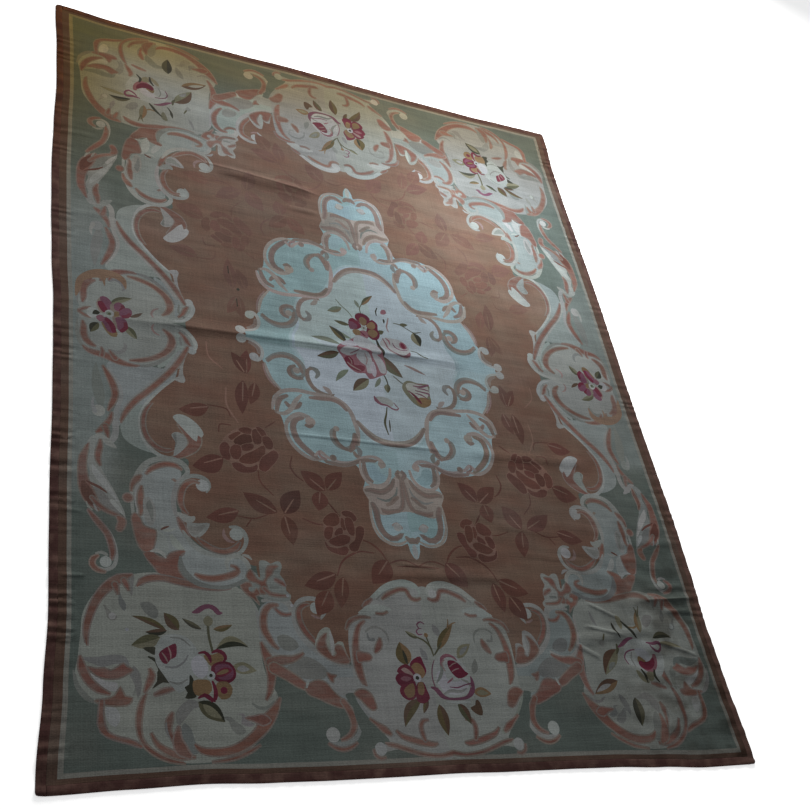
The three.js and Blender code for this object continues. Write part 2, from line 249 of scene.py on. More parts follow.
# The scrollwork of one quarter. A point's first number is its distance out from the long axis,
# and its second the distance down from the middle of the carpet.
BORDER = [
    # the field, up to the middle of the scrolls round it
    ("tan", (0, 0), (0, 0), (560, 0), (575, 20), (560, 60), (580, 110), (600, 160), (612, 200),
     (635, 222), (662, 252), (686, 284), (702, 320), (705, 358), (697, 392), (680, 420),
     (655, 437), (628, 440), (590, 440), (595, 480),
     (615, 520), (620, 560), (610, 600), (605, 640), (580, 670), (540, 692), (480, 690),
     (455, 720), (400, 730), (385, 780), (370, 815), (350, 850), (330, 905), (290, 945),
     (240, 965), (222, 950), (218, 890), (200, 860), (170, 830), (120, 790), (60, 775), (0, 780),
     (0, 780)),
    # pale panel beside the side cartouche
    ("pale", (770, 165), (700, 165), (640, 170), (605, 160), (612, 200), (635, 222), (662, 252),
     (686, 284), (702, 315), (722, 335), (748, 345), (765, 345), (768, 320), (757, 290),
     (757, 250), (765, 215), (785, 180)),
    ("pale", (750, 345), (700, 290), (695, 300), (704, 350), (690, 400), (668, 430), (700, 425),
     (745, 395)),
    # side cartouche
    ("cream", (855, 18), (862, 60), (858, 105), (835, 140), (790, 158), (745, 172), (700, 172),
     (650, 160), (600, 165), (590, 140), (575, 100), (548, 95), (548, 60), (575, 28), (620, 15),
     (640, 5), (700, 5), (860, 5)),
    ("grey", (862, 40), (868, 90), (850, 135), (820, 152), (850, 120), (856, 90)),
    ("pale", (598, 48, 8), (592, 75, 16), (600, 105, 24), (620, 135, 22), (650, 165, 10)),
    ("grey", (724, 168, 3), (690, 170, 8), (660, 158, 10), (632, 135, 10), (612, 112, 8),
     (600, 85, 4)),
    ("grey", (600, 30, 3), (575, 42, 5), (590, 60, 7), (588, 85, 5)),
    ("rust", (848, 47, 3), (845, 65, 14), (845, 90, 17), (838, 108, 16), (825, 120, 12),
     (812, 126, 3)),
    ("rust", (850, 128, 3), (835, 140, 10), (815, 146, 14), (790, 150, 16), (765, 160, 18),
     (745, 168, 14), (725, 172, 8), (700, 172, 3)),
    ("rust", (796, 152, 10), (794, 138, 7), (798, 126, 2)),
    ("rust", (762, 156, 12), (772, 142, 7), (776, 132, 2)),
    ("rust", (724, 157, 4), (700, 153, 10), (670, 143, 11), (645, 128, 13), (625, 108, 15),
     (615, 88, 18), (613, 70, 17), (622, 52, 11), (634, 42, 4)),
    ("pink", (660, 28, 3), (665, 40, 6), (658, 55, 6), (645, 62, 3)),
    ("rust", (860, 22, 3), (852, 12, 6), (838, 4, 6), (825, 1, 3)),
    ("light", (822, 20, 14)),
    ("grey", (775, 128, 3), (760, 138, 8), (742, 130, 12), (735, 112, 8), (740, 103, 3)),
    ("rust", (592, 42, 3), (580, 55, 8), (572, 72, 10), (565, 82, 4)),
    ("light", (561, 98, 13)),
    ("light", (600, 28, 6), (575, 36, 9), (557, 55, 11), (549, 78, 12), (551, 92, 9)),
    # long ribbon from the side cartouche down to the hook
    ("cream", (580, 125), (586, 150), (588, 180), (583, 198), (588, 208), (603, 206), (615, 198),
     (602, 190), (598, 170), (594, 150), (588, 130)),
    ("cream", (592, 112, 20), (612, 150, 22), (645, 200, 26), (690, 252, 26), (725, 290, 24),
     (750, 330, 20), (765, 360, 18)),
    ("rust", (572, 90, 6), (580, 108, 10), (594, 135, 13), (614, 167, 13), (642, 202, 13),
     (680, 245, 13), (715, 282, 13), (740, 320, 10), (753, 352, 3)),
    ("light", (612, 200, 5), (635, 222, 6), (662, 252, 7), (686, 284, 8), (702, 320, 9),
     (705, 358, 9), (697, 392, 10), (680, 420, 11), (655, 437, 10), (628, 440, 6)),
    ("rust", (672, 280, 3), (689, 305, 8), (697, 340, 10), (693, 375, 11), (680, 400, 12),
     (662, 415, 11), (640, 420, 9), (622, 415, 3)),
    ("rust", (612, 335), (590, 358), (570, 375), (556, 362), (552, 385), (563, 410), (590, 430),
     (615, 440), (640, 443), (618, 430), (600, 412), (585, 392), (597, 365)),
    ("light", (622, 318), (612, 309), (596, 308), (573, 320), (552, 343), (545, 362), (552, 372),
     (560, 366), (564, 385), (575, 378), (590, 360), (608, 338)),
    ("cream", (628, 372), (618, 363), (605, 364), (593, 375), (588, 392), (594, 405), (604, 418),
     (625, 435), (622, 415), (618, 395)),
    ("grey", (625, 372), (618, 366), (616, 380), (616, 400), (622, 412), (618, 392)),
    # outer S scroll of the side border
    ("grey", (812, 178, 4), (812, 215, 22), (808, 250, 30), (802, 285, 26), (800, 310, 10)),
    ("cream", (806, 322, 17)),
    ("cream", (820, 285, 4), (822, 305, 9), (815, 325, 12)),
    ("cream", (782, 188, 4), (766, 215, 9), (752, 248, 11), (750, 280, 11), (760, 310, 12),
     (766, 340, 14), (764, 375, 16), (770, 400, 16), (785, 415, 12)),
    ("rust", (793, 186, 4), (780, 212, 12), (768, 243, 15), (764, 270, 14), (772, 297, 12),
     (782, 320, 3)),
    ("rust", (773, 325, 4), (778, 345, 10), (790, 365, 14), (803, 379, 11), (813, 386, 3)),
    ("rust", (790, 366, 14), (785, 383, 10), (783, 399, 3)),
    ("cream", (815, 392), (800, 388), (785, 398), (768, 415), (762, 427), (776, 425), (795, 412),
     (812, 402)),
    ("cream", (820, 395), (835, 415), (828, 440), (835, 470), (828, 500), (833, 525), (820, 540),
     (800, 548), (775, 575), (752, 605), (745, 620), (747, 600), (755, 580), (765, 555),
     (782, 520), (798, 490), (806, 465), (815, 440), (812, 415), (805, 400)),
    ("light", (822, 480, 6), (812, 500, 18), (795, 522, 18), (778, 548, 10), (764, 570, 4)),
    ("grey", (824, 540), (806, 541), (790, 556), (772, 578), (757, 596), (757, 604), (775, 602),
     (795, 592), (812, 572)),
    ("light", (776, 572, 10), (762, 590, 10), (752, 604, 4)),
    ("rust", (802, 408, 5), (803, 425, 12), (808, 445, 14), (808, 462, 11), (802, 479, 3)),
    ("rust", (833, 417, 3), (838, 435, 9), (846, 458, 18), (848, 485, 20), (846, 512, 24),
     (841, 537, 30), (831, 561, 33), (818, 582, 24), (808, 596, 8)),
    ("rose", (845, 528, 12), (838, 548, 26), (826, 570, 24), (816, 588, 8)),
    ("rose", (838, 522, 3), (822, 530, 7), (803, 539, 7), (787, 551, 3)),
    ("rust", (824, 566, 8), (806, 586, 10), (785, 600, 8), (766, 608, 7), (750, 615, 3)),
    ("rust", (766, 610), (762, 625), (767, 645), (757, 650), (748, 638), (745, 622), (752, 613)),
    ("cream", (838, 577, 3), (833, 590, 6), (824, 598, 4)),
    ("cream", (820, 583, 3), (815, 593, 6), (810, 602, 3)),
    ("cream", (824, 603, 4), (802, 630, 9), (783, 655, 10), (772, 685, 10), (768, 715, 9),
     (774, 738, 9), (792, 748, 9), (812, 741, 4)),
    ("rust", (832, 600, 5), (820, 616, 11), (804, 635, 13), (789, 655, 12), (780, 680, 12),
     (776, 705, 10), (779, 723, 3)),
    ("cream", (815, 708, 4), (802, 705, 8), (790, 710, 8)),
    ("light", (792, 728, 14)),
    ("rust", (808, 713, 3), (821, 721, 11), (824, 735, 12), (812, 748, 9), (795, 753, 4)),
    # middle scrolls between field and border
    ("pale", (700, 480), (660, 458), (630, 460), (608, 480), (618, 510), (628, 545), (628, 585),
     (612, 625), (598, 655), (580, 680), (545, 700), (500, 705), (470, 712), (462, 745),
     (480, 772), (530, 785), (580, 783), (610, 765), (628, 735), (640, 700), (660, 700),
     (680, 700), (685, 660), (678, 640), (700, 630), (715, 600), (722, 560), (718, 520)),
    ("cream", (728, 600, 8), (729, 575, 9), (729, 545, 10), (722, 515, 14), (708, 482, 15),
     (688, 458, 15), (655, 444, 14), (622, 445, 14), (600, 458, 14), (592, 478, 12), (604, 490, 6)),
    ("cream", (706, 505, 8), (716, 530, 9), (720, 560, 9), (716, 590, 9), (718, 605, 6)),
    ("rust", (695, 492, 3), (681, 476, 10), (661, 464, 12), (640, 459, 12), (620, 462, 10),
     (606, 472, 3)),
    ("rust", (706, 496, 3), (716, 506, 14), (727, 522, 9), (731, 542, 3)),
    ("rust", (739, 560, 11)),
    ("rust", (706, 525, 3), (709, 545, 12), (710, 570, 13), (708, 590, 10), (712, 606, 3)),
    ("cream", (702, 560), (690, 554), (678, 572), (674, 600), (680, 625), (690, 632), (700, 615),
     (704, 590)),
    ("grey", (697, 575), (688, 562), (680, 590), (684, 620), (690, 600)),
    ("light", (662, 630, 3), (655, 640, 8), (640, 640, 6), (630, 634, 2)),
    ("rose", (665, 640, 3), (655, 634, 6), (645, 630, 3)),
    ("light", (675, 640, 8), (665, 660, 22), (660, 690, 26), (656, 710, 6)),
    ("light", (640, 655, 10), (630, 675, 20), (615, 690, 10)),
    ("rust", (731, 610), (724, 600), (712, 612), (706, 630), (690, 638), (677, 642), (676, 655),
     (680, 675), (686, 692), (700, 700), (712, 692), (722, 668), (728, 640)),
    ("rust", (706, 703), (690, 697), (670, 710), (656, 713), (648, 702), (638, 697), (622, 692),
     (606, 692), (618, 700), (627, 720), (628, 742), (616, 762), (602, 774), (585, 785),
     (620, 786), (650, 780), (668, 762), (682, 738)),
    ("light", (690, 697, 4), (675, 694, 9), (662, 702, 9), (655, 713, 3)),
    ("rust", (632, 500), (625, 502), (618, 510)),
    # inner S scroll, eye and tongues
    ("cream", (604, 490, 6), (618, 510, 12), (627, 535, 13), (631, 560, 13), (629, 588, 11),
     (625, 605, 6)),
    ("cream", (548, 530, 5), (541, 514, 11), (546, 497, 13), (562, 488, 13), (582, 487, 12),
     (602, 496, 10), (614, 512, 6)),
    ("light", (557, 512, 17)),
    ("rust", (565, 506, 3), (578, 502, 7), (592, 507, 11), (605, 521, 13), (612, 541, 14),
     (614, 562, 12), (608, 582, 8), (598, 594, 3)),
    ("cream", (624, 590), (607, 594), (590, 600), (583, 598), (580, 604), (584, 612), (596, 618),
     (610, 614), (620, 604)),
    ("cream", (602, 618), (575, 617), (546, 616), (552, 632), (565, 648), (578, 656), (592, 652),
     (600, 636)),
    ("grey", (600, 628), (578, 626), (556, 620), (570, 640), (582, 648), (594, 645)),
    ("rust", (623, 604, 3), (616, 620, 12), (608, 640, 11), (598, 656, 3)),
    ("cream", (612, 640, 5), (592, 672, 14), (565, 692, 14), (532, 700, 12), (500, 699, 11),
     (476, 689, 10), (462, 670, 10), (458, 650, 12), (465, 632, 12), (480, 622, 11), (496, 622, 7)),
    ("light", (482, 641, 17)),
    ("rust", (580, 656, 3), (565, 669, 10), (545, 682, 12), (520, 689, 12), (500, 685, 12),
     (484, 675, 11), (475, 661, 3)),
    ("pink", (512, 628, 3), (513, 645, 9), (503, 659, 9), (488, 663, 3)),
    # corner cartouche
    ("cream", (735, 757), (680, 750), (640, 765), (600, 778), (540, 784), (500, 777), (470, 795),
     (447, 830), (440, 880), (447, 950), (438, 1000), (418, 1040), (428, 1080), (452, 1115),
     (482, 1148), (530, 1174), (590, 1184), (650, 1180), (700, 1162), (722, 1142), (760, 1128),
     (795, 1108), (802, 1060), (840, 1030), (860, 990), (856, 950), (852, 900), (847, 850),
     (815, 800), (775, 768)),
    ("grey", (735, 762, 12), (738, 785, 12), (736, 806, 4)),
    ("grey", (776, 790), (766, 800), (764, 830), (752, 846), (748, 830), (757, 815), (764, 795)),
    ("grey", (800, 830), (793, 845), (790, 862), (775, 868), (768, 858), (780, 850), (795, 832)),
    ("light", (779, 857, 8)),
    ("grey", (864, 980, 4), (855, 1012, 11), (834, 1038, 12), (812, 1050, 4)),
    ("grey", (738, 1035, 3), (728, 1010, 7), (722, 985, 3)),
    ("grey", (718, 826), (700, 822), (684, 832), (678, 850), (685, 862), (700, 855), (712, 842)),
    ("grey", (850, 952), (830, 962), (800, 972), (770, 965), (745, 972), (752, 950), (780, 945),
     (810, 950)),
    ("grey", (745, 985), (735, 1010), (728, 1040), (720, 1020), (722, 990), (735, 970)),
    ("light", (828, 985), (812, 1005), (790, 1022), (772, 1025), (770, 1008), (795, 1003)),
    ("light", (795, 1058), (790, 1090), (775, 1100), (765, 1080), (775, 1060)),
    ("grey", (650, 1075), (640, 1060), (620, 1045), (600, 1050), (580, 1060), (610, 1065),
     (628, 1085), (645, 1100)),
    ("grey", (640, 1110), (632, 1095), (618, 1110), (612, 1135), (602, 1160), (620, 1165),
     (632, 1150), (640, 1130)),
    ("grey", (548, 1085), (535, 1095), (530, 1112), (515, 1125), (498, 1118), (505, 1105),
     (520, 1095), (530, 1085)),
    ("grey", (518, 1080), (505, 1082), (508, 1100), (488, 1108), (478, 1102), (495, 1092),
     (500, 1078)),
    ("grey", (480, 1055, 3), (465, 1066, 8), (445, 1066, 8), (428, 1052, 4)),
    ("grey", (565, 1172, 4), (530, 1166, 7), (495, 1150, 8), (462, 1128, 8), (440, 1108, 4)),
    ("rust", (735, 758, 4), (762, 768, 20), (785, 785, 22), (808, 810, 19), (828, 848, 17),
     (839, 890, 13), (836, 926, 3)),
    ("rust", (752, 772, 12), (746, 785, 9), (742, 796, 3)),
    ("rust", (772, 782, 12), (768, 796, 8), (766, 806, 2)),
    ("rust", (724, 787, 3), (714, 773, 12), (692, 764, 15), (662, 763, 13), (640, 768, 14),
     (600, 777, 13), (570, 785, 6), (530, 787, 3), (500, 780, 2)),
    ("rust", (851, 948, 3), (846, 972, 16), (832, 1000, 15), (810, 1020, 13), (785, 1031, 3)),
    ("rust", (833, 972), (815, 976), (797, 975), (783, 980), (768, 972), (757, 965), (750, 972),
     (737, 979), (750, 988), (768, 997), (795, 997), (815, 990)),
    ("rust", (818, 1044), (795, 1042), (775, 1034), (764, 1016), (755, 1036), (740, 1040),
     (746, 1052), (770, 1056), (800, 1052)),
    ("rust", (803, 1046, 9), (805, 1075, 10), (803, 1098, 14), (794, 1113, 10), (775, 1123, 8),
     (745, 1132, 9), (724, 1142, 6)),
    ("rust", (711, 1030, 3), (720, 1050, 9), (726, 1075, 12), (728, 1100, 10), (724, 1125, 7),
     (712, 1145, 8), (690, 1163, 8), (665, 1175, 7), (632, 1183, 3)),
    ("rust", (702, 976, 3), (697, 990, 12), (703, 1006, 12), (713, 1026, 4)),
    ("rust", (691, 1033, 5), (670, 1025, 10), (648, 1020, 3)),
    ("rust", (703, 1115, 3), (690, 1140, 9), (665, 1158, 13), (640, 1168, 13), (612, 1171, 3)),
    ("rust", (656, 1072, 3), (663, 1088, 13), (666, 1108, 10), (658, 1128, 7), (645, 1150, 10)),
    ("grey", (671, 1095, 4), (671, 1110, 6), (664, 1128, 2)),
    ("rust", (645, 1105, 5), (648, 1130, 17), (641, 1153, 24), (625, 1168, 10)),
    ("rust", (614, 1143, 3), (597, 1157, 12), (566, 1162, 16), (530, 1157, 17), (500, 1143, 19),
     (472, 1122, 21), (451, 1098, 28), (430, 1073, 18), (414, 1046, 4)),
    ("rust", (498, 1088), (478, 1085), (455, 1082), (440, 1095), (460, 1105), (478, 1095)),
    ("rust", (578, 1183, 2), (532, 1176, 6), (492, 1160, 6), (468, 1147, 2)),
    # band from the corner cartouche to the end cartouche
    ("pale", (440, 830), (400, 808), (365, 815), (345, 850), (345, 890), (325, 915), (290, 945),
     (240, 965), (222, 975), (215, 1010), (232, 1038), (262, 1055), (290, 1022), (315, 1005),
     (345, 1020), (390, 985), (430, 965), (445, 930)),
    ("grey", (390, 975), (370, 962), (348, 948), (320, 955), (290, 985), (300, 1000), (330, 1003),
     (360, 998)),
    ("grey", (405, 900), (385, 895), (360, 910), (355, 925), (380, 935), (400, 925)),
    ("cream", (450, 830, 5), (446, 870, 9), (440, 905, 9), (425, 935, 10), (400, 948, 9),
     (370, 945, 7), (345, 932, 5)),
    ("cream", (432, 812, 8), (405, 806, 12), (380, 808, 18), (365, 822, 16), (366, 838, 8)),
    ("rust", (398, 822, 6), (415, 824, 11), (428, 837, 13), (435, 860, 14), (434, 885, 14),
     (425, 905, 12), (416, 920, 8), (405, 930, 3)),
    ("rust", (402, 832, 4), (390, 843, 7), (376, 846, 6), (362, 843, 3)),
    ("cream", (290, 853, 6), (279, 838, 10), (282, 815, 12), (300, 804, 12), (325, 804, 12),
     (345, 815, 12), (357, 840, 12), (357, 866, 13), (346, 895, 15), (325, 922, 15),
     (295, 945, 13), (262, 966, 12), (232, 972, 9)),
    ("light", (300, 827, 15)),
    ("rust", (318, 818, 4), (330, 820, 9), (343, 831, 11), (346, 850, 12), (342, 870, 12),
     (332, 890, 12), (320, 905, 11), (311, 917, 3)),
    ("pink", (314, 845, 3), (303, 850, 7), (290, 853, 3)),
    ("cream", (314, 925), (308, 902), (297, 884), (281, 875), (271, 879), (268, 900), (264, 918),
     (255, 911), (242, 912), (240, 922), (235, 950), (240, 962), (280, 952), (300, 940)),
    ("rust", (310, 928), (302, 908), (292, 897), (281, 890), (287, 908), (283, 930), (270, 948),
     (262, 940), (266, 928), (258, 920), (247, 923), (240, 938), (232, 962), (255, 964),
     (285, 952)),
    ("light", (272, 885, 3), (270, 905, 10), (270, 925, 10), (273, 945, 3)),
    ("rust", (446, 914, 3), (438, 940, 15), (428, 966, 24), (429, 1000, 16), (436, 1030, 10),
     (446, 1049, 3)),
    ("rust", (428, 962, 20), (400, 957, 20), (375, 955, 13), (352, 945, 6), (345, 940, 3)),
    ("rust", (420, 975, 26), (388, 994, 22), (362, 1012, 20), (345, 1022, 12)),
    ("rust", (350, 1022), (335, 1010), (315, 1005), (300, 1010), (288, 1024), (275, 1040),
     (260, 1052), (250, 1062), (262, 1070), (290, 1062), (320, 1048), (345, 1036)),
    ("light", (340, 1003, 3), (344, 1012, 7), (347, 1023, 3)),
    ("cream", (252, 1058, 5), (239, 1078, 8), (229, 1100, 9), (232, 1125, 10), (248, 1143, 12),
     (270, 1150, 12), (290, 1150, 10), (305, 1142, 8)),
    ("rust", (262, 1055, 12), (250, 1075, 14), (243, 1095, 14), (244, 1115, 12), (253, 1130, 9),
     (266, 1138, 7), (279, 1142, 3)),
    ("light", (297, 1130, 17)),
    ("rust", (311, 1148, 3), (296, 1158, 6), (275, 1163, 7), (255, 1158, 6), (240, 1149, 3)),
    ("cream", (290, 1010), (270, 1000), (240, 998), (218, 1000), (210, 1020), (225, 1034),
     (252, 1042), (275, 1036)),
    ("rust", (292, 987), (283, 992), (270, 994), (278, 1000), (280, 1010), (287, 1004)),
    # crest over that band
    ("cream", (432, 752), (433, 722), (430, 709), (422, 707), (412, 709), (403, 716), (390, 709),
     (378, 709), (375, 724), (382, 742), (373, 755), (369, 770), (370, 785), (360, 795),
     (362, 806), (372, 812), (395, 812), (430, 805), (452, 795), (475, 780), (468, 748),
     (450, 735)),
    ("cream", (510, 737, 5), (512, 716, 11), (500, 702, 12), (480, 700, 12), (463, 714, 12),
     (458, 735, 10), (463, 750, 5)),
    ("cream", (470, 695, 5), (458, 698, 9), (450, 706, 4)),
    ("tan", (436, 712, 4), (436, 730, 7), (434, 750, 4)),
    ("rust", (466, 750), (455, 733), (448, 745), (440, 757), (427, 762), (418, 752), (416, 735),
     (410, 723), (398, 720), (384, 721), (397, 731), (402, 742), (413, 752), (420, 765),
     (417, 780), (425, 795), (440, 790), (432, 775), (445, 765), (458, 762)),
    ("rust", (425, 780, 8), (412, 793, 7), (392, 797, 6), (370, 798, 3)),
    ("rust", (393, 757, 7), (379, 765, 9), (371, 772, 3)),
    ("grey", (408, 778, 7), (390, 777, 6)),
    ("rust", (482, 774), (470, 768), (460, 767), (456, 777), (462, 788), (452, 792), (444, 782),
     (437, 795), (448, 800), (440, 822), (452, 808), (470, 795)),
    ("cream", (458, 783, 6)),
    # corner scroll at the foot of the middle scrolls
    ("grey", (622, 708, 6), (620, 732, 14), (610, 752, 16), (590, 770, 14), (560, 780, 11),
     (520, 781, 10), (490, 771, 10), (470, 760, 8)),
    ("rust", (590, 750, 3), (575, 757, 11), (550, 760, 13), (525, 756, 13), (500, 748, 13),
     (486, 738, 10), (490, 729, 6), (503, 725, 2)),
    # end cartouche
    ("cream", (0, 760), (20, 765), (50, 745), (80, 748), (115, 763), (150, 795), (185, 835),
     (215, 860), (226, 900), (228, 960), (226, 1010), (226, 1045), (205, 1090), (175, 1125),
     (190, 1150), (180, 1170), (140, 1168), (90, 1182), (40, 1190), (0, 1190)),
    ("light", (150, 796, 6), (130, 785, 16), (105, 768, 20), (75, 755, 18), (45, 753, 18),
     (22, 762, 18), (14, 778, 14), (24, 788, 8)),
    ("grey", (135, 800, 4), (110, 780, 4), (80, 768, 4), (50, 764, 3)),
    ("rust", (120, 799, 3), (106, 788, 9), (86, 778, 9), (66, 771, 9), (49, 772, 9), (43, 783, 9),
     (36, 795, 9), (22, 798, 7), (10, 793, 3)),
    ("light", (26, 779, 12)),
    ("rust", (176, 821, 3), (165, 811, 10), (150, 800, 5)),
    ("light", (191, 836), (180, 828), (165, 817), (145, 813), (118, 816), (98, 826), (112, 832),
     (140, 836), (160, 845), (180, 843)),
    ("rust", (141, 837, 4), (125, 838, 5), (110, 832, 3)),
    ("rust", (228, 878, 4), (217, 860, 9), (197, 850, 8), (175, 847, 5), (160, 849, 2)),
    ("rust", (178, 858, 4), (192, 868, 8), (203, 890, 11), (210, 920, 14), (212, 950, 17),
     (210, 980, 17), (205, 1005, 12), (198, 1021, 3)),
    ("rust", (208, 935), (192, 938), (178, 941), (172, 950), (180, 958), (195, 959), (208, 962)),
    ("grey", (178, 885, 4), (165, 875, 6), (140, 875, 6), (123, 890, 6), (120, 912, 3)),
    ("grey", (175, 888, 3), (172, 905, 8), (160, 905, 8)),
    ("rust", (143, 901, 3), (146, 915, 14), (155, 930, 12), (162, 938, 3)),
    ("sage", (254, 1040), (246, 1036), (230, 1037), (226, 1050), (213, 1078), (190, 1108),
     (165, 1140), (160, 1150), (210, 1150), (235, 1100), (240, 1070)),
    ("cream", (230, 1038, 4), (222, 1058, 7), (206, 1085, 8), (186, 1108, 10), (165, 1125, 14),
     (150, 1135, 12)),
    ("rust", (231, 1038), (218, 1028), (202, 1029), (188, 1040), (182, 1058), (180, 1072),
     (190, 1077), (203, 1068), (216, 1052)),
    ("rust", (202, 1096, 3), (184, 1110, 7), (168, 1122, 14), (156, 1132, 8)),
    ("rust", (139, 1125, 3), (126, 1138, 9), (100, 1148, 12), (70, 1156, 12), (46, 1160, 9),
     (37, 1158, 3)),
    ("rust", (50, 1103, 3), (65, 1105, 8), (73, 1118, 9), (72, 1135, 9), (68, 1150, 6)),
    ("rust", (173, 1154, 3), (150, 1158, 7), (120, 1168, 7), (90, 1178, 7), (60, 1184, 6),
     (30, 1186, 6), (10, 1183, 8), (0, 1181, 9)),
    ("light", (185, 1165, 15)),
    ("rust", (203, 1165, 3), (200, 1178, 5), (188, 1186, 6), (175, 1184, 3)),
]


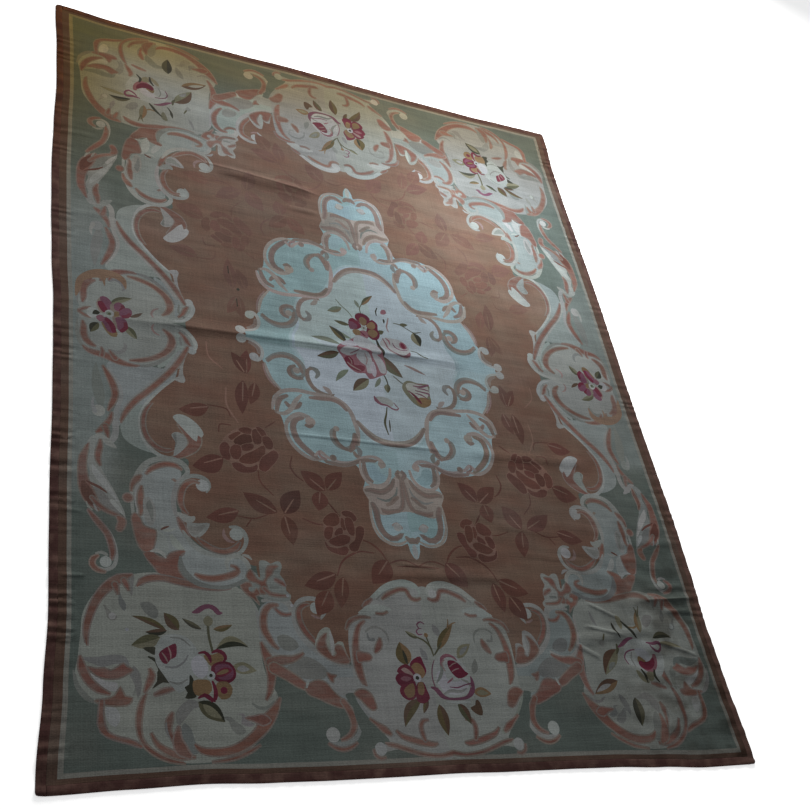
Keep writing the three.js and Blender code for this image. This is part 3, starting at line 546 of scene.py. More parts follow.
MEDALLION = [
    # medallion: outline of the whole shape, then its rims and scrolls
    ("sky", (0, 0), (0, 0), (410, 0), (410, 0), (398, 34), (374, 46), (362, 68), (366, 92),
     (360, 104), (358, 130), (350, 155), (338, 174), (322, 190), (345, 215), (350, 255), (330, 275),
     (324, 300), (320, 335), (305, 370), (280, 395), (245, 408), (205, 418), (165, 420),
     (130, 412), (120, 430), (112, 460), (120, 485), (108, 500), (110, 530), (114, 565),
     (110, 600), (95, 630), (65, 647), (35, 647), (18, 640), (15, 660), (5, 682), (0, 684),
     (0, 684)),
    ("mist", (0, 0), (0, 0), (262, 0), (262, 0), (258, 40), (240, 75), (238, 105), (232, 130),
     (228, 160), (205, 185), (165, 195), (130, 225), (112, 255), (95, 290), (70, 320), (35, 333),
     (0, 336), (0, 336)),
    # left knobs and volutes
    ("light", (410, 30, 7), (390, 34, 9), (371, 46, 10), (361, 66, 10), (366, 90, 10),
     (378, 101, 9), (390, 101, 4)),
    ("light", (419, 32, 15)),
    ("light", (387, 90, 14)),
    ("dusk", (398, 41, 3), (384, 47, 6), (373, 58, 7), (371, 74, 4)),
    # round lobe beside them
    ("shell", (358, 106, 5), (353, 130, 9), (345, 155, 9), (334, 172, 8), (320, 190, 5)),
    ("pink", (363, 108, 3), (361, 131, 5), (352, 159, 5), (334, 184, 4)),
    ("grey", (352, 92, 6), (330, 76, 12), (300, 66, 14), (270, 72, 14), (250, 92, 14),
     (243, 115, 13), (250, 135, 11), (268, 140, 11), (280, 126, 9), (274, 110, 7)),
    ("dusk", (350, 100, 3), (330, 82, 5), (300, 74, 6), (274, 80, 6), (256, 98, 6), (250, 122, 4)),
    ("dusk", (268, 102, 3), (282, 108, 6), (289, 122, 8), (284, 137, 7), (268, 145, 6),
     (250, 143, 3)),
    ("shell", (266, 118, 11)),
    # small scroll inside the lobe
    ("grey", (222, 102, 10), (206, 108, 16), (202, 122, 14), (210, 134, 8)),
    ("dusk", (214, 102, 3), (230, 108, 6), (236, 128, 8), (232, 152, 8), (221, 172, 8),
     (203, 185, 8), (182, 191, 7), (160, 188, 3)),
    ("shell", (190, 165, 8), (180, 172, 16), (172, 184, 10)),
    # ring bulge
    ("shell", (351, 258, 5), (346, 236, 11), (336, 214, 12), (320, 198, 13), (300, 190, 13),
     (270, 186, 13), (235, 190, 12), (200, 194, 14), (165, 198, 14), (138, 212, 13),
     (120, 240, 14), (112, 275, 14), (108, 310, 12), (112, 345, 8)),
    ("dusk", (340, 266, 5), (334, 240, 9), (324, 220, 9), (305, 209, 5)),
    ("dusk", (310, 232, 4), (302, 242, 8), (288, 246, 8), (274, 238, 8), (266, 226, 3)),
    ("shell", (262, 200, 6), (280, 222, 14), (300, 255, 14), (322, 270, 12), (336, 268, 8)),
    ("dusk", (236, 206, 4), (205, 204, 9), (170, 204, 9), (148, 213, 9), (132, 234, 4)),
    # big C below it
    ("shell", (250, 272, 14), (275, 266, 16), (300, 280, 16), (316, 300, 11), (317, 335, 10),
     (303, 368, 11), (280, 392, 11), (250, 405, 11), (225, 402, 8)),
    ("dusk", (266, 277, 4), (284, 282, 10), (297, 300, 12), (298, 325, 13), (290, 350, 13),
     (273, 372, 12), (255, 388, 11), (240, 400, 4)),
    ("shell", (246, 286, 15)),
    ("dusk", (262, 298, 3), (250, 303, 6), (240, 296, 3)),
    # inner scroll
    ("grey", (168, 298, 10), (184, 308, 14), (188, 332, 14), (176, 352, 14), (155, 362, 12),
     (138, 355, 10), (126, 335, 12), (122, 312, 8)),
    ("dusk", (178, 306, 3), (181, 330, 6), (170, 350, 6), (152, 364, 5), (140, 366, 3)),
    ("dusk", (118, 312, 4), (119, 330, 14), (128, 350, 15), (140, 368, 5)),
    ("shell", (172, 300, 9)),
    ("grey", (120, 352, 8), (112, 366, 16), (114, 378, 12)),
    ("dusk", (130, 370, 3), (124, 382, 7), (114, 386, 3)),
    # lower rim of the body
    ("shell", (245, 392, 8), (228, 380, 12), (215, 392, 10), (190, 404, 10), (165, 408, 10),
     (135, 402, 9), (110, 388, 10), (80, 380, 9), (60, 385, 12), (48, 402, 14), (56, 412, 8)),
    ("pink", (232, 376, 3), (232, 392, 8), (215, 402, 6)),
    ("dusk", (225, 408, 3), (200, 412, 6), (170, 416, 7), (140, 409, 6), (115, 397, 7),
     (90, 392, 7), (62, 394, 3)),
    ("dusk", (194, 395, 7)),
    # oval line under the bouquet
    ("shell", (100, 268, 6), (84, 291, 12), (62, 310, 12), (35, 322, 11), (0, 327, 11)),
    ("dusk", (106, 266, 3), (92, 290, 6), (68, 316, 6), (40, 331, 7), (10, 335, 7), (0, 335, 7)),
    # first ring of the pendant
    ("shell", (116, 398, 5), (119, 425, 9), (112, 450, 9), (98, 466, 10), (75, 472, 12),
     (50, 462, 12), (35, 440, 10), (30, 415, 8)),
    ("dusk", (106, 398, 4), (107, 425, 9), (101, 448, 8), (88, 460, 3)),
    ("sky", (98, 410), (85, 402), (68, 412), (62, 428), (45, 440), (60, 458), (80, 456), (94, 445)),
    ("shell", (52, 402, 12)),
    # second ring
    ("shell", (122, 484), (105, 472), (75, 474), (45, 465), (22, 440), (0, 420), (0, 560),
     (20, 545), (40, 552), (75, 560), (100, 545), (108, 520)),
    ("dusk", (116, 488, 3), (98, 486, 10), (72, 490, 12), (50, 481, 11), (34, 466, 9),
     (25, 448, 4)),
    ("grey", (85, 508, 3), (60, 515, 7), (40, 508, 9), (25, 492, 7), (18, 470, 3)),
    ("dusk", (60, 528, 3), (45, 522, 5), (32, 508, 8), (22, 502, 4)),
    ("shell", (104, 510, 8), (108, 535, 9), (110, 565, 8), (107, 592, 9), (97, 617, 9),
     (80, 636, 9), (56, 643, 9), (36, 641, 8), (20, 632, 5)),
    ("dusk", (100, 528, 10), (94, 545, 13), (92, 580, 13), (83, 610, 13), (64, 627, 12),
     (42, 624, 10), (26, 608, 3)),
    ("dusk", (80, 542, 3), (64, 550, 12), (42, 546, 8), (20, 540, 8), (9, 520, 8), (6, 492, 8),
     (4, 465, 6), (2, 445, 4)),
    ("sky", (82, 562), (60, 558), (35, 552), (10, 545), (0, 545), (0, 605), (20, 600), (38, 610),
     (55, 620), (72, 610), (82, 588)),
    ("shell", (52, 588, 6), (40, 584, 12), (28, 594, 10)),
    ("light", (39, 593, 12)),
    ("dusk", (18, 622, 4), (8, 632, 12), (0, 630, 12)),
    ("light", (0, 648, 12), (0, 668, 16), (0, 682, 6)),
    ("dusk", (4, 418, 3), (12, 430, 8), (4, 442, 6)),
]


# The leaf sprays of the field's left side, and then the bouquets. From here on the points are
# places on the carpet, to the right of its middle and up from it.
FIELD_LEAVES = [
    ("vein", (-520, -60, 3), (-515, -110, 4), (-480, -145, 3)),
    ("vein", (-475, -205, 3), (-477, -262, 5), (-450, -315, 3)),
    ("rose", (-530, -268, 3), (-478, -276, 4), (-470, -300, 2)),
    ("rose", (-470, -325, 3), (-500, -325, 4), (-505, -350, 3)),
    ("rose", (-378, -322, 3), (-360, -308, 4), (-347, -298, 2)),
    ("rose", (-312, -402, 3), (-320, -435, 5), (-306, -462, 5), (-288, -476, 3)),
    ("rose", (-410, -452, 3), (-406, -488, 4), (-375, -525, 3)),
    ("rose", (-475, -590, 3), (-430, -594, 4), (-385, -575, 3)),
    ("rose", (-455, -618, 3), (-440, -597, 3)),
    ("rose", (-232, -528, 3), (-215, -552, 5), (-200, -575, 2)),
    ("rose", (-305, -585, 3), (-270, -598, 4), (-250, -600, 2)),
    ("rose", (-152, -635, 3), (-125, -645, 5), (-100, -668, 6), (-88, -690, 3)),
    ("rose", (-232, -740, 3), (-212, -700, 5), (-185, -680, 6), (-160, -670, 5), (-120, -672, 3)),
    ("rose", (-82, -700, 3), (-55, -690, 5), (-30, -690, 4), (0, -706, 4)),
    ("rose", (-62, -708, 2), (-30, -706, 4), (0, -707, 3)),
    # the large rose, its petals laid on a patch of the paler vein colour
    ("vein", (-500, -380), (-478, -350), (-450, -330), (-420, -328), (-390, -324), (-372, -345),
     (-364, -375), (-352, -400), (-360, -425), (-385, -452), (-410, -452), (-430, -460),
     (-465, -458), (-478, -442), (-500, -420)),
    ("rose", (-502, -388), (-490, -379), (-482, -388), (-480, -410), (-484, -430), (-498, -424),
     (-505, -405)),
    ("rose", (-479, -362), (-462, -348), (-446, -343), (-456, -354), (-472, -368)),
    ("rose", (-466, -374), (-455, -360), (-435, -349), (-420, -352), (-416, -366), (-428, -373),
     (-446, -381), (-458, -384)),
    ("rose", (-450, -336), (-435, -328), (-419, -331), (-417, -342), (-430, -345), (-442, -342)),
    ("rose", (-413, -336), (-405, -330), (-396, -336), (-391, -352), (-396, -372), (-410, -374)),
    ("rose", (-402, -322), (-386, -328), (-378, -345), (-386, -350), (-393, -340)),
    ("rose", (-387, -353), (-373, -350), (-362, -370), (-368, -386), (-380, -384)),
    ("rose", (-446, -386), (-430, -378), (-416, -379), (-419, -390), (-435, -398), (-447, -396)),
    ("rose", (-478, -402), (-468, -386), (-452, -387), (-451, -405), (-458, -424), (-471, -424)),
    ("rose", (-456, -431), (-445, -415), (-420, -401), (-400, -387), (-387, -379), (-387, -400),
     (-400, -420), (-430, -436)),
    ("rose", (-394, -416), (-376, -402), (-360, -391), (-350, -402), (-358, -420), (-375, -440),
     (-390, -455), (-404, -450), (-402, -434)),
    ("rose", (-476, -441), (-456, -439), (-441, -449), (-421, -446), (-411, -439), (-415, -455),
     (-440, -463), (-465, -459)),
    # the small rose, the same way
    ("vein", (-250, -600), (-244, -575), (-215, -562), (-202, -575), (-192, -560), (-170, -557),
     (-157, -572), (-163, -596), (-145, -602), (-143, -618), (-158, -650), (-180, -668),
     (-205, -678), (-235, -666), (-250, -645)),
    ("rose", (-248, -590), (-235, -572), (-215, -564), (-206, -572), (-206, -590), (-220, -600),
     (-240, -600)),
    ("rose", (-194, -561), (-180, -555), (-165, -560), (-155, -575), (-163, -583), (-173, -572),
     (-185, -570)),
    ("rose", (-200, -592), (-196, -577), (-191, -586), (-191, -610), (-198, -610)),
    ("rose", (-185, -577), (-173, -576), (-166, -595), (-171, -625), (-180, -620), (-187, -600)),
    ("rose", (-160, -606), (-150, -598), (-140, -601), (-142, -620), (-155, -645), (-168, -668),
     (-182, -668), (-185, -655), (-168, -640), (-162, -625)),
    ("rose", (-249, -620), (-240, -606), (-226, -606), (-229, -620), (-238, -640), (-249, -635)),
    ("rose", (-222, -626), (-215, -613), (-201, -606), (-201, -620), (-212, -630)),
    ("rose", (-240, -646), (-225, -636), (-200, -626), (-182, -631), (-186, -643), (-200, -652),
     (-225, -656)),
    ("rose", (-252, -646), (-245, -660), (-220, -666), (-196, -659), (-191, -666), (-200, -680),
     (-225, -678), (-245, -668)),
]


# each leaf of these sprays: the two numbers of its stem, the two of its tip, its width, its bow
SPRAY_LEAVES = [
    (-414, -152, -406, -70, 30, 4), (-418, -150, -452, -84, 30, -4), (-426, -176, -436, -286, 34, -3),
    (-392, -178, -412, -252, 30, 3), (-526, -274, -606, -292, 38, 6), (-498, -426, -580, -458, 50, 8),
    (-370, -573, -455, -522, 44, 4), (-352, -575, -304, -504, 50, 3), (-352, -580, -338, -662, 40, 3),
    (-470, -575, -554, -600, 38, 5), (-232, -500, -294, -444, 44, -3), (-226, -497, -176, -438, 40, 3),
    (-246, -502, -258, -560, 42, 2), (-84, -690, -138, -758, 54, 4), (-234, -735, -322, -770, 44, 5),
    (-216, -742, -233, -826, 36, -2), (-260, -780, -298, -846, 46, 3)]
# how much fuller the petals and leaves are than their rows, and how far the petals' pale edge
PETAL_MARGIN = 1.8
PETAL_EDGE = 3.6
LEAF_MARGIN = 4
field_sprays = []
for (dye, first, *_), (_, outline) in zip(FIELD_LEAVES, shapes(FIELD_LEAVES)):
    if dye == "rose" and len(first) == 2:
        # a petal, edged with the paler colour so that it stands off the one below it
        field_sprays.append(("vein", grown(outline, PETAL_EDGE)))
        outline = grown(outline, PETAL_MARGIN)
    field_sprays.append((dye, outline))
for stem_x, stem_y, tip_x, tip_y, width, bend in SPRAY_LEAVES:
    stem, run = (stem_x, stem_y), np.array([tip_x - stem_x, tip_y - stem_y])
    field_sprays += leaf("rose", None, stem, (tip_x, tip_y), width + LEAF_MARGIN, bend)
    vein = [(*(stem + run * part), thick) for part, thick in ((0.06, 4), (0.35, 4), (0.62, 2))]
    field_sprays += shapes([("vein", *vein)])

# the bouquet in the left foot corner
CORNER = [
    *leaf("olive", "umber", (-662, -889), (-738, -856), 15, -5),
    *leaf("umber", "dark", (-660, -889), (-709, -893), 16, 3),
    *leaf("umber", "olive", (-634, -888), (-666, -847), 28, 0, -1),
    *leaf("moss", "dark", (-582, -885), (-626, -859), 13, 2),
    *leaf("ochre", "olive", (-556, -885), (-510, -873), 15, -3, -1),
    *leaf("lime", "moss", (-676, -905), (-740, -924), 32, 2, -1),
    *leaf("lime", "dark", (-552, -931), (-476, -927), 26, 16, -1),
    *leaf("lime", None, (-520, -974), (-462, -982), 28, 2),
    *leaf("cream", None, (-508, -977), (-478, -979), 15, 1),
    *leaf("moss", "dark", (-600, -1050), (-543, -1096), 36, 2),
    *leaf("lime", None, (-590, -1056), (-549, -1088), 18, -2),
    *shapes([
        ("moss", (-567, -866, 6), (-567, -900, 6), (-561, -936, 6)),
        ("plum", (-600, -845, 5), (-590, -842, 12), (-577, -833, 12), (-562, -829, 11),
         (-549, -835, 12), (-541, -845, 12), (-533, -845, 4)),
        ("lime", (-567, -852), (-577, -862), (-575, -873), (-566, -878), (-557, -872), (-556, -860)),
        ("dark", (-715, -930), (-700, -927), (-688, -928), (-688, -946), (-702, -940)),
        ("dark", (-703, -950, 4), (-688, -958, 8), (-681, -975, 7), (-677, -990, 8)),
        ("dark", (-684, -980), (-670, -985), (-667, -998), (-658, -1009), (-674, -1007),
         (-698, -1021), (-687, -1004)),
        ("light", (-686, -925), (-672, -903), (-645, -897), (-618, -904), (-602, -922),
         (-592, -942), (-596, -975), (-612, -998), (-622, -1018), (-640, -1030), (-658, -1012),
         (-672, -990), (-688, -962)),
        ("grey", (-668, -972, 3), (-645, -973, 5), (-625, -960, 4), (-616, -945, 3)),
        ("grey", (-660, -1005, 3), (-640, -1010, 5), (-620, -1000, 3)),
        ("grey", (-655, -905, 3), (-630, -908, 4), (-610, -925, 3)),
        ("crimson", (-681, -944), (-672, -933), (-656, -924), (-643, -919), (-641, -935),
         (-644, -950), (-656, -956), (-664, -966), (-674, -962)),
        ("pink", (-674, -940, 2), (-667, -950, 4), (-661, -963, 2)),
        ("pink", (-660, -926, 2), (-655, -940, 4), (-655, -954, 2)),
        ("white", (-606, -952), (-590, -946), (-576, -960), (-574, -985), (-588, -999),
         (-604, -990), (-611, -970)),
        ("dark", (-615, -990), (-608, -998), (-606, -1020), (-603, -1040), (-628, -1042),
         (-622, -1030), (-628, -1018), (-618, -1012)),
        ("ochre", (-582, -946), (-560, -944), (-540, -938), (-534, -950), (-545, -964),
         (-565, -972), (-575, -960)),
        ("crimson", (-592, -941, 4), (-579, -939, 7), (-569, -949, 9), (-566, -963, 3)),
        ("crimson", (-562, -940, 4), (-550, -935, 9), (-536, -942, 9), (-532, -954, 7),
         (-540, -962, 3)),
        ("crimson", (-566, -972), (-545, -960), (-522, -963), (-511, -980), (-512, -997),
         (-526, -1009), (-548, -1008), (-562, -999)),
        ("plum", (-558, -972), (-543, -965), (-525, -968), (-516, -981), (-519, -996),
         (-530, -1003), (-548, -1001), (-556, -990)),
        ("crimson", (-560, -993), (-545, -977), (-528, -974), (-519, -981), (-530, -990),
         (-545, -996)),
        ("ochre", (-556, -990), (-544, -981), (-530, -978), (-527, -983), (-543, -990)),
        ("ochre", (-608, -1004), (-588, -1001), (-572, -1004), (-568, -1026), (-584, -1038),
         (-606, -1034)),
        ("ochre", (-556, -1009), (-532, -1007), (-521, -1022), (-529, -1042), (-548, -1046),
         (-558, -1030)),
        ("crimson", (-541, -1026, 8)),
        ("crimson", (-565, -1006, 5), (-560, -1024, 9), (-562, -1044, 9), (-570, -1050, 4)),
        ("crimson", (-600, -1043, 3), (-585, -1036, 9), (-572, -1044, 10), (-563, -1050, 4)),
        ("white", (-568, -992, 10)),
        ("dark", (-568, -992, 4)),
    ]),
]

# the bouquet in the right foot corner
SECOND_CORNER = [
    *leaf("ochre", "lime", (660, -878), (672, -806), 24, 2, -1),
    *leaf("dark", "moss", (700, -892), (768, -890), 20, 10),
    *leaf("lime", None, (715, -905), (795, -920), 14, 3),
    *leaf("grey", None, (527, -1048), (549, -1106), 20, 3),
    *leaf("grey", None, (524, -898), (520, -920), 18, -4),
    *leaf("grey", None, (520, -862), (504, -812), 9, 2),
    *leaf("lime", "umber", (563, -925), (503, -997), 42, -6, -1),
    *leaf("grey", None, (545, -962), (520, -985), 14, -3),
    *leaf("umber", "ochre", (536, -1013), (451, -1048), 34, -2),
    *leaf("cream", None, (512, -1022), (458, -1043), 13, -2),
    *leaf("moss", "dark", (577, -1058), (575, -1132), 34, 3, -1),
    *shapes([
        ("moss", (664, -800, 2), (668, -812, 4), (668, -830, 3)),
        ("moss", (680, -797, 2), (676, -812, 4), (670, -830, 3)),
        ("lime", (588, -828), (602, -831), (608, -848), (600, -868), (591, -852)),
        ("dark", (604, -842, 3), (622, -862, 9), (637, -884, 8), (643, -893, 3)),
        ("ochre", (626, -860, 3), (640, -864, 6), (655, -856, 4)),
        ("dark", (571, -848, 3), (573, -862, 9), (576, -877, 6), (586, -893, 3)),
        ("moss", (533, -882, 3), (527, -894, 6), (524, -902, 3)),
        ("moss", (568, -911, 5), (567, -925, 10), (560, -938, 4)),
        ("light", (600, -908), (630, -896), (665, -898), (700, -915), (716, -945), (706, -980),
         (690, -1000), (650, -992), (615, -975), (590, -965), (585, -935)),
        ("plum", (571, -919, 4), (585, -912, 10), (598, -903, 12), (614, -895, 8), (628, -893, 3)),
        ("plum", (672, -905, 4), (692, -908, 9), (714, -905, 10), (718, -918, 6), (705, -931, 8),
         (688, -922, 6), (681, -911, 3)),
        ("plum", (590, -968, 3), (583, -950, 4), (591, -935, 4), (608, -928, 4), (624, -926, 3)),
        ("grey", (612, -975, 3), (604, -950, 4), (612, -932, 3)),
        ("white", (625, -925), (648, -922), (670, -938), (668, -954), (645, -958), (630, -948)),
        ("ochre", (624, -958), (630, -944), (642, -950), (652, -962), (635, -968)),
        ("wine", (626, -970), (640, -985), (660, -992), (680, -980), (692, -955), (690, -938),
         (680, -940), (676, -960), (655, -972), (638, -970)),
        ("crimson", (625, -965), (632, -956), (645, -961), (665, -957), (680, -946), (681, -962),
         (668, -978), (650, -984), (634, -978)),
        ("lime", (608, -984), (618, -986), (630, -1000), (645, -1018), (630, -1018), (614, -1004)),
        ("lime", (640, -992), (664, -990), (662, -1008), (648, -1016), (640, -1006)),
        ("dark", (627, -982, 5), (636, -1000, 8), (637, -1020, 3)),
        ("dark", (671, -984, 6), (667, -1000, 9), (679, -1018, 3)),
    ]),
]

# the bouquet at the foot end
END_SPRAY = [
    *leaf("ochre", "olive", (-82, -970), (-92, -910), 42, 0),
    *leaf("dark", None, (-80, -968), (-87, -928), 9, 0),
    *leaf("olive", "umber", (-60, -1052), (-114, -1118), 28, -10, -1),
    *leaf("olive", "umber", (-42, -1052), (-60, -1088), 14, 0),
    *leaf("olive", "umber", (-14, -1066), (-4, -1142), 30, 0),
    *leaf("ochre", None, (88, -1038), (138, -1043), 26, 2),
    *leaf("lime", None, (96, -1039), (130, -1042), 14, 1),
    *leaf("moss", "umber", (38, -1064), (64, -1116), 24, 3),
    *leaf("lime", None, (62, -952), (106, -914), 26, 4),
    *leaf("grey", None, (70, -944), (98, -920), 12, 2),
    *leaf("grey", None, (98, -992), (112, -952), 18, -2),
    *leaf("grey", None, (-24, -958), (-38, -924), 16, 0),
    *leaf("grey", None, (22, -895), (8, -862), 18, 0),
    *leaf("ochre", "olive", (10, -930), (66, -862), 25, 2),
    *leaf("lime", "moss", (-38, -900), (-72, -881), 12, 2),
    *shapes([
        ("moss", (0, -942, 4), (12, -928, 5), (24, -912, 4)),
        ("ochre", (55, -868, 5), (66, -860, 4), (77, -857, 2)),
        ("ochre", (50, -872, 5), (54, -860, 4), (56, -848, 2)),
        ("moss", (-4, -945, 4), (-9, -922, 5), (-24, -906, 5), (-46, -896, 4)),
        ("moss", (-9, -922, 4), (-15, -898, 4)),
        ("ochre", (-15, -892, 6)),
        ("plum", (-14, -863, 2), (-24, -857, 4), (-35, -864, 4), (-32, -873, 3), (-24, -875, 2)),
        ("plum", (-31, -874, 2), (-40, -882, 4), (-35, -891, 4), (-24, -889, 2)),
        ("crimson", (-70, -985), (-74, -966), (-60, -953), (-42, -947), (-37, -962), (-32, -985),
         (-45, -1000), (-58, -1000)),
        ("ochre", (-66, -985), (-72, -974), (-60, -963), (-46, -966), (-36, -988), (-46, -1002),
         (-56, -998)),
        ("crimson", (-112, -984), (-98, -970), (-82, -967), (-68, -980), (-64, -998), (-80, -998),
         (-100, -996)),
        ("pink", (-100, -980), (-90, -975), (-76, -984), (-68, -996), (-84, -992)),
        ("crimson", (-119, -1001), (-106, -988), (-80, -992), (-66, -1002), (-84, -1016),
         (-108, -1021)),
        ("wine", (-106, -1003), (-94, -996), (-76, -1002), (-90, -1010)),
        ("crimson", (-113, -1032), (-104, -1018), (-84, -1014), (-68, -1008), (-68, -1030),
         (-74, -1050), (-92, -1056), (-108, -1046)),
        ("ochre", (-102, -1032), (-90, -1020), (-74, -1014), (-72, -1032), (-78, -1046),
         (-94, -1049)),
        ("crimson", (-70, -1030), (-60, -1012), (-46, -1012), (-40, -1030), (-36, -1052),
         (-54, -1064), (-70, -1058)),
        ("ochre", (-64, -1026), (-58, -1012), (-48, -1012), (-46, -1030), (-54, -1044),
         (-64, -1040)),
        ("white", (-60, -1001, 11)),
        ("dark", (-60, -1001, 5)),
        ("plum", (-28, -1024, 3), (-14, -1030, 12), (-2, -1046, 12), (14, -1053, 7), (45, -1054, 7),
         (68, -1050, 9), (84, -1036, 14), (90, -1014, 10), (88, -998, 3)),
        ("light", (-16, -1002), (-8, -966), (8, -948), (38, -940), (62, -952), (84, -985),
         (85, -1015), (72, -1040), (45, -1049), (16, -1048), (-4, -1030)),
        ("white", (-8, -1005), (0, -985), (16, -985), (22, -1005), (42, -1012), (78, -1004),
         (78, -1022), (60, -1038), (30, -1044), (6, -1034)),
        ("grey", (-10, -1014, 3), (2, -1000, 8), (11, -984, 9), (10, -964, 4)),
        ("grey", (4, -1042, 3), (24, -1034, 9), (52, -1036, 8), (72, -1028, 3)),
        ("grey", (60, -1006, 3), (76, -1012, 7), (84, -1026, 3)),
        ("light", (8, -1060, 3), (40, -1063, 7), (72, -1062, 5)),
        ("plum", (-16, -1024, 3), (-19, -1000, 3), (-13, -972, 3), (-5, -956, 2)),
        ("wine", (12, -970, 4), (16, -953, 9), (32, -944, 9), (50, -949, 6), (58, -958, 3)),
        ("pink", (20, -985, 3), (14, -965, 4), (24, -955, 3)),
        ("crimson", (32, -958), (50, -958), (66, -970), (76, -985), (84, -991), (70, -1000),
         (52, -1003), (38, -990), (31, -974)),
        ("pink", (34, -974, 2), (46, -966, 3), (56, -963, 2)),
        ("pink", (38, -986, 2), (50, -980, 3), (60, -978, 2)),
        ("wine", (20, -1014, 3), (30, -1008, 5), (38, -1002, 3)),
        ("plum", (24, -1024, 2), (46, -1026, 4), (66, -1020, 3), (86, -1016, 4)),
        ("umber", (70, -1076), (85, -1070), (88, -1060), (96, -1057), (103, -1076), (100, -1095),
         (88, -1094), (76, -1086)),
    ]),
]

# the spray on the left side
SIDE_SPRAY = [
    *shapes([
        ("clay", (-866, 30), (-864, 85), (-845, 113), (-815, 132), (-780, 138), (-748, 130),
         (-730, 112), (-731, 78), (-742, 100), (-762, 112), (-782, 108), (-786, 78), (-798, 104),
         (-825, 98), (-842, 80), (-852, 55)),
        ("rust", (-849, 20, 3), (-847, 50, 9), (-838, 84, 10), (-822, 98, 4)),
    ]),
    *leaf("dark", None, (-800, -14), (-821, -21), 16, -3),
    *leaf("dark", "moss", (-804, -48), (-826, -82), 26, -3),
    *leaf("moss", "lime", (-736, -46), (-705, -86), 22, 1, -1),
    *leaf("moss", "lime", (-772, 22), (-714, 50), 20, 4, -1),
    *leaf("umber", None, (-722, -16), (-688, 6), 12, -2),
    *shapes([
        ("blush", (-810, 18), (-802, 35), (-786, 40), (-772, 32), (-768, 10), (-778, -4),
         (-798, -14), (-806, 0)),
        ("plum", (-797, 38), (-784, 39), (-773, 26), (-771, 6), (-782, 4), (-790, 18)),
        ("crimson", (-803, 21), (-796, 23), (-787, 8), (-782, -4), (-790, -8), (-798, 4)),
        ("blush", (-772, 20), (-758, 22), (-750, 4), (-744, -24), (-752, -62), (-764, -52),
         (-768, -24)),
        ("plum", (-760, 18), (-750, 27), (-741, 20), (-740, 8), (-748, 2), (-757, 4)),
        ("crimson", (-741, 20, 2), (-739, 12, 5), (-745, 3, 4)),
        ("plum", (-747, -6), (-736, 9), (-723, 11), (-719, -1), (-729, -16), (-742, -19)),
        ("crimson", (-742, -18, 3), (-730, -16, 5), (-721, -4, 3)),
        ("ochre", (-762, -5), (-752, -2), (-750, -16), (-762, -22)),
        ("plum", (-757, -26), (-745, -24), (-734, -32), (-732, -50), (-742, -66), (-751, -60),
         (-753, -44)),
        ("crimson", (-735, -36, 2), (-733, -52, 5), (-744, -65, 4)),
        ("ochre", (-797, -44), (-786, -70), (-770, -88), (-757, -86), (-756, -70), (-766, -66),
         (-778, -72), (-788, -50)),
        ("plum", (-794, -36), (-784, -29), (-769, -44), (-762, -66), (-768, -73), (-778, -68),
         (-786, -50)),
        ("crimson", (-782, -34, 4), (-769, -50, 7), (-764, -69, 5)),
        ("wine", (-811, -30), (-801, -21), (-791, -24), (-790, -40), (-802, -43)),
        ("light", (-775, -12, 12)),
        ("grass", (-777, -13, 7)),
        ("moss", (-775, -14, 4)),
    ]),
]

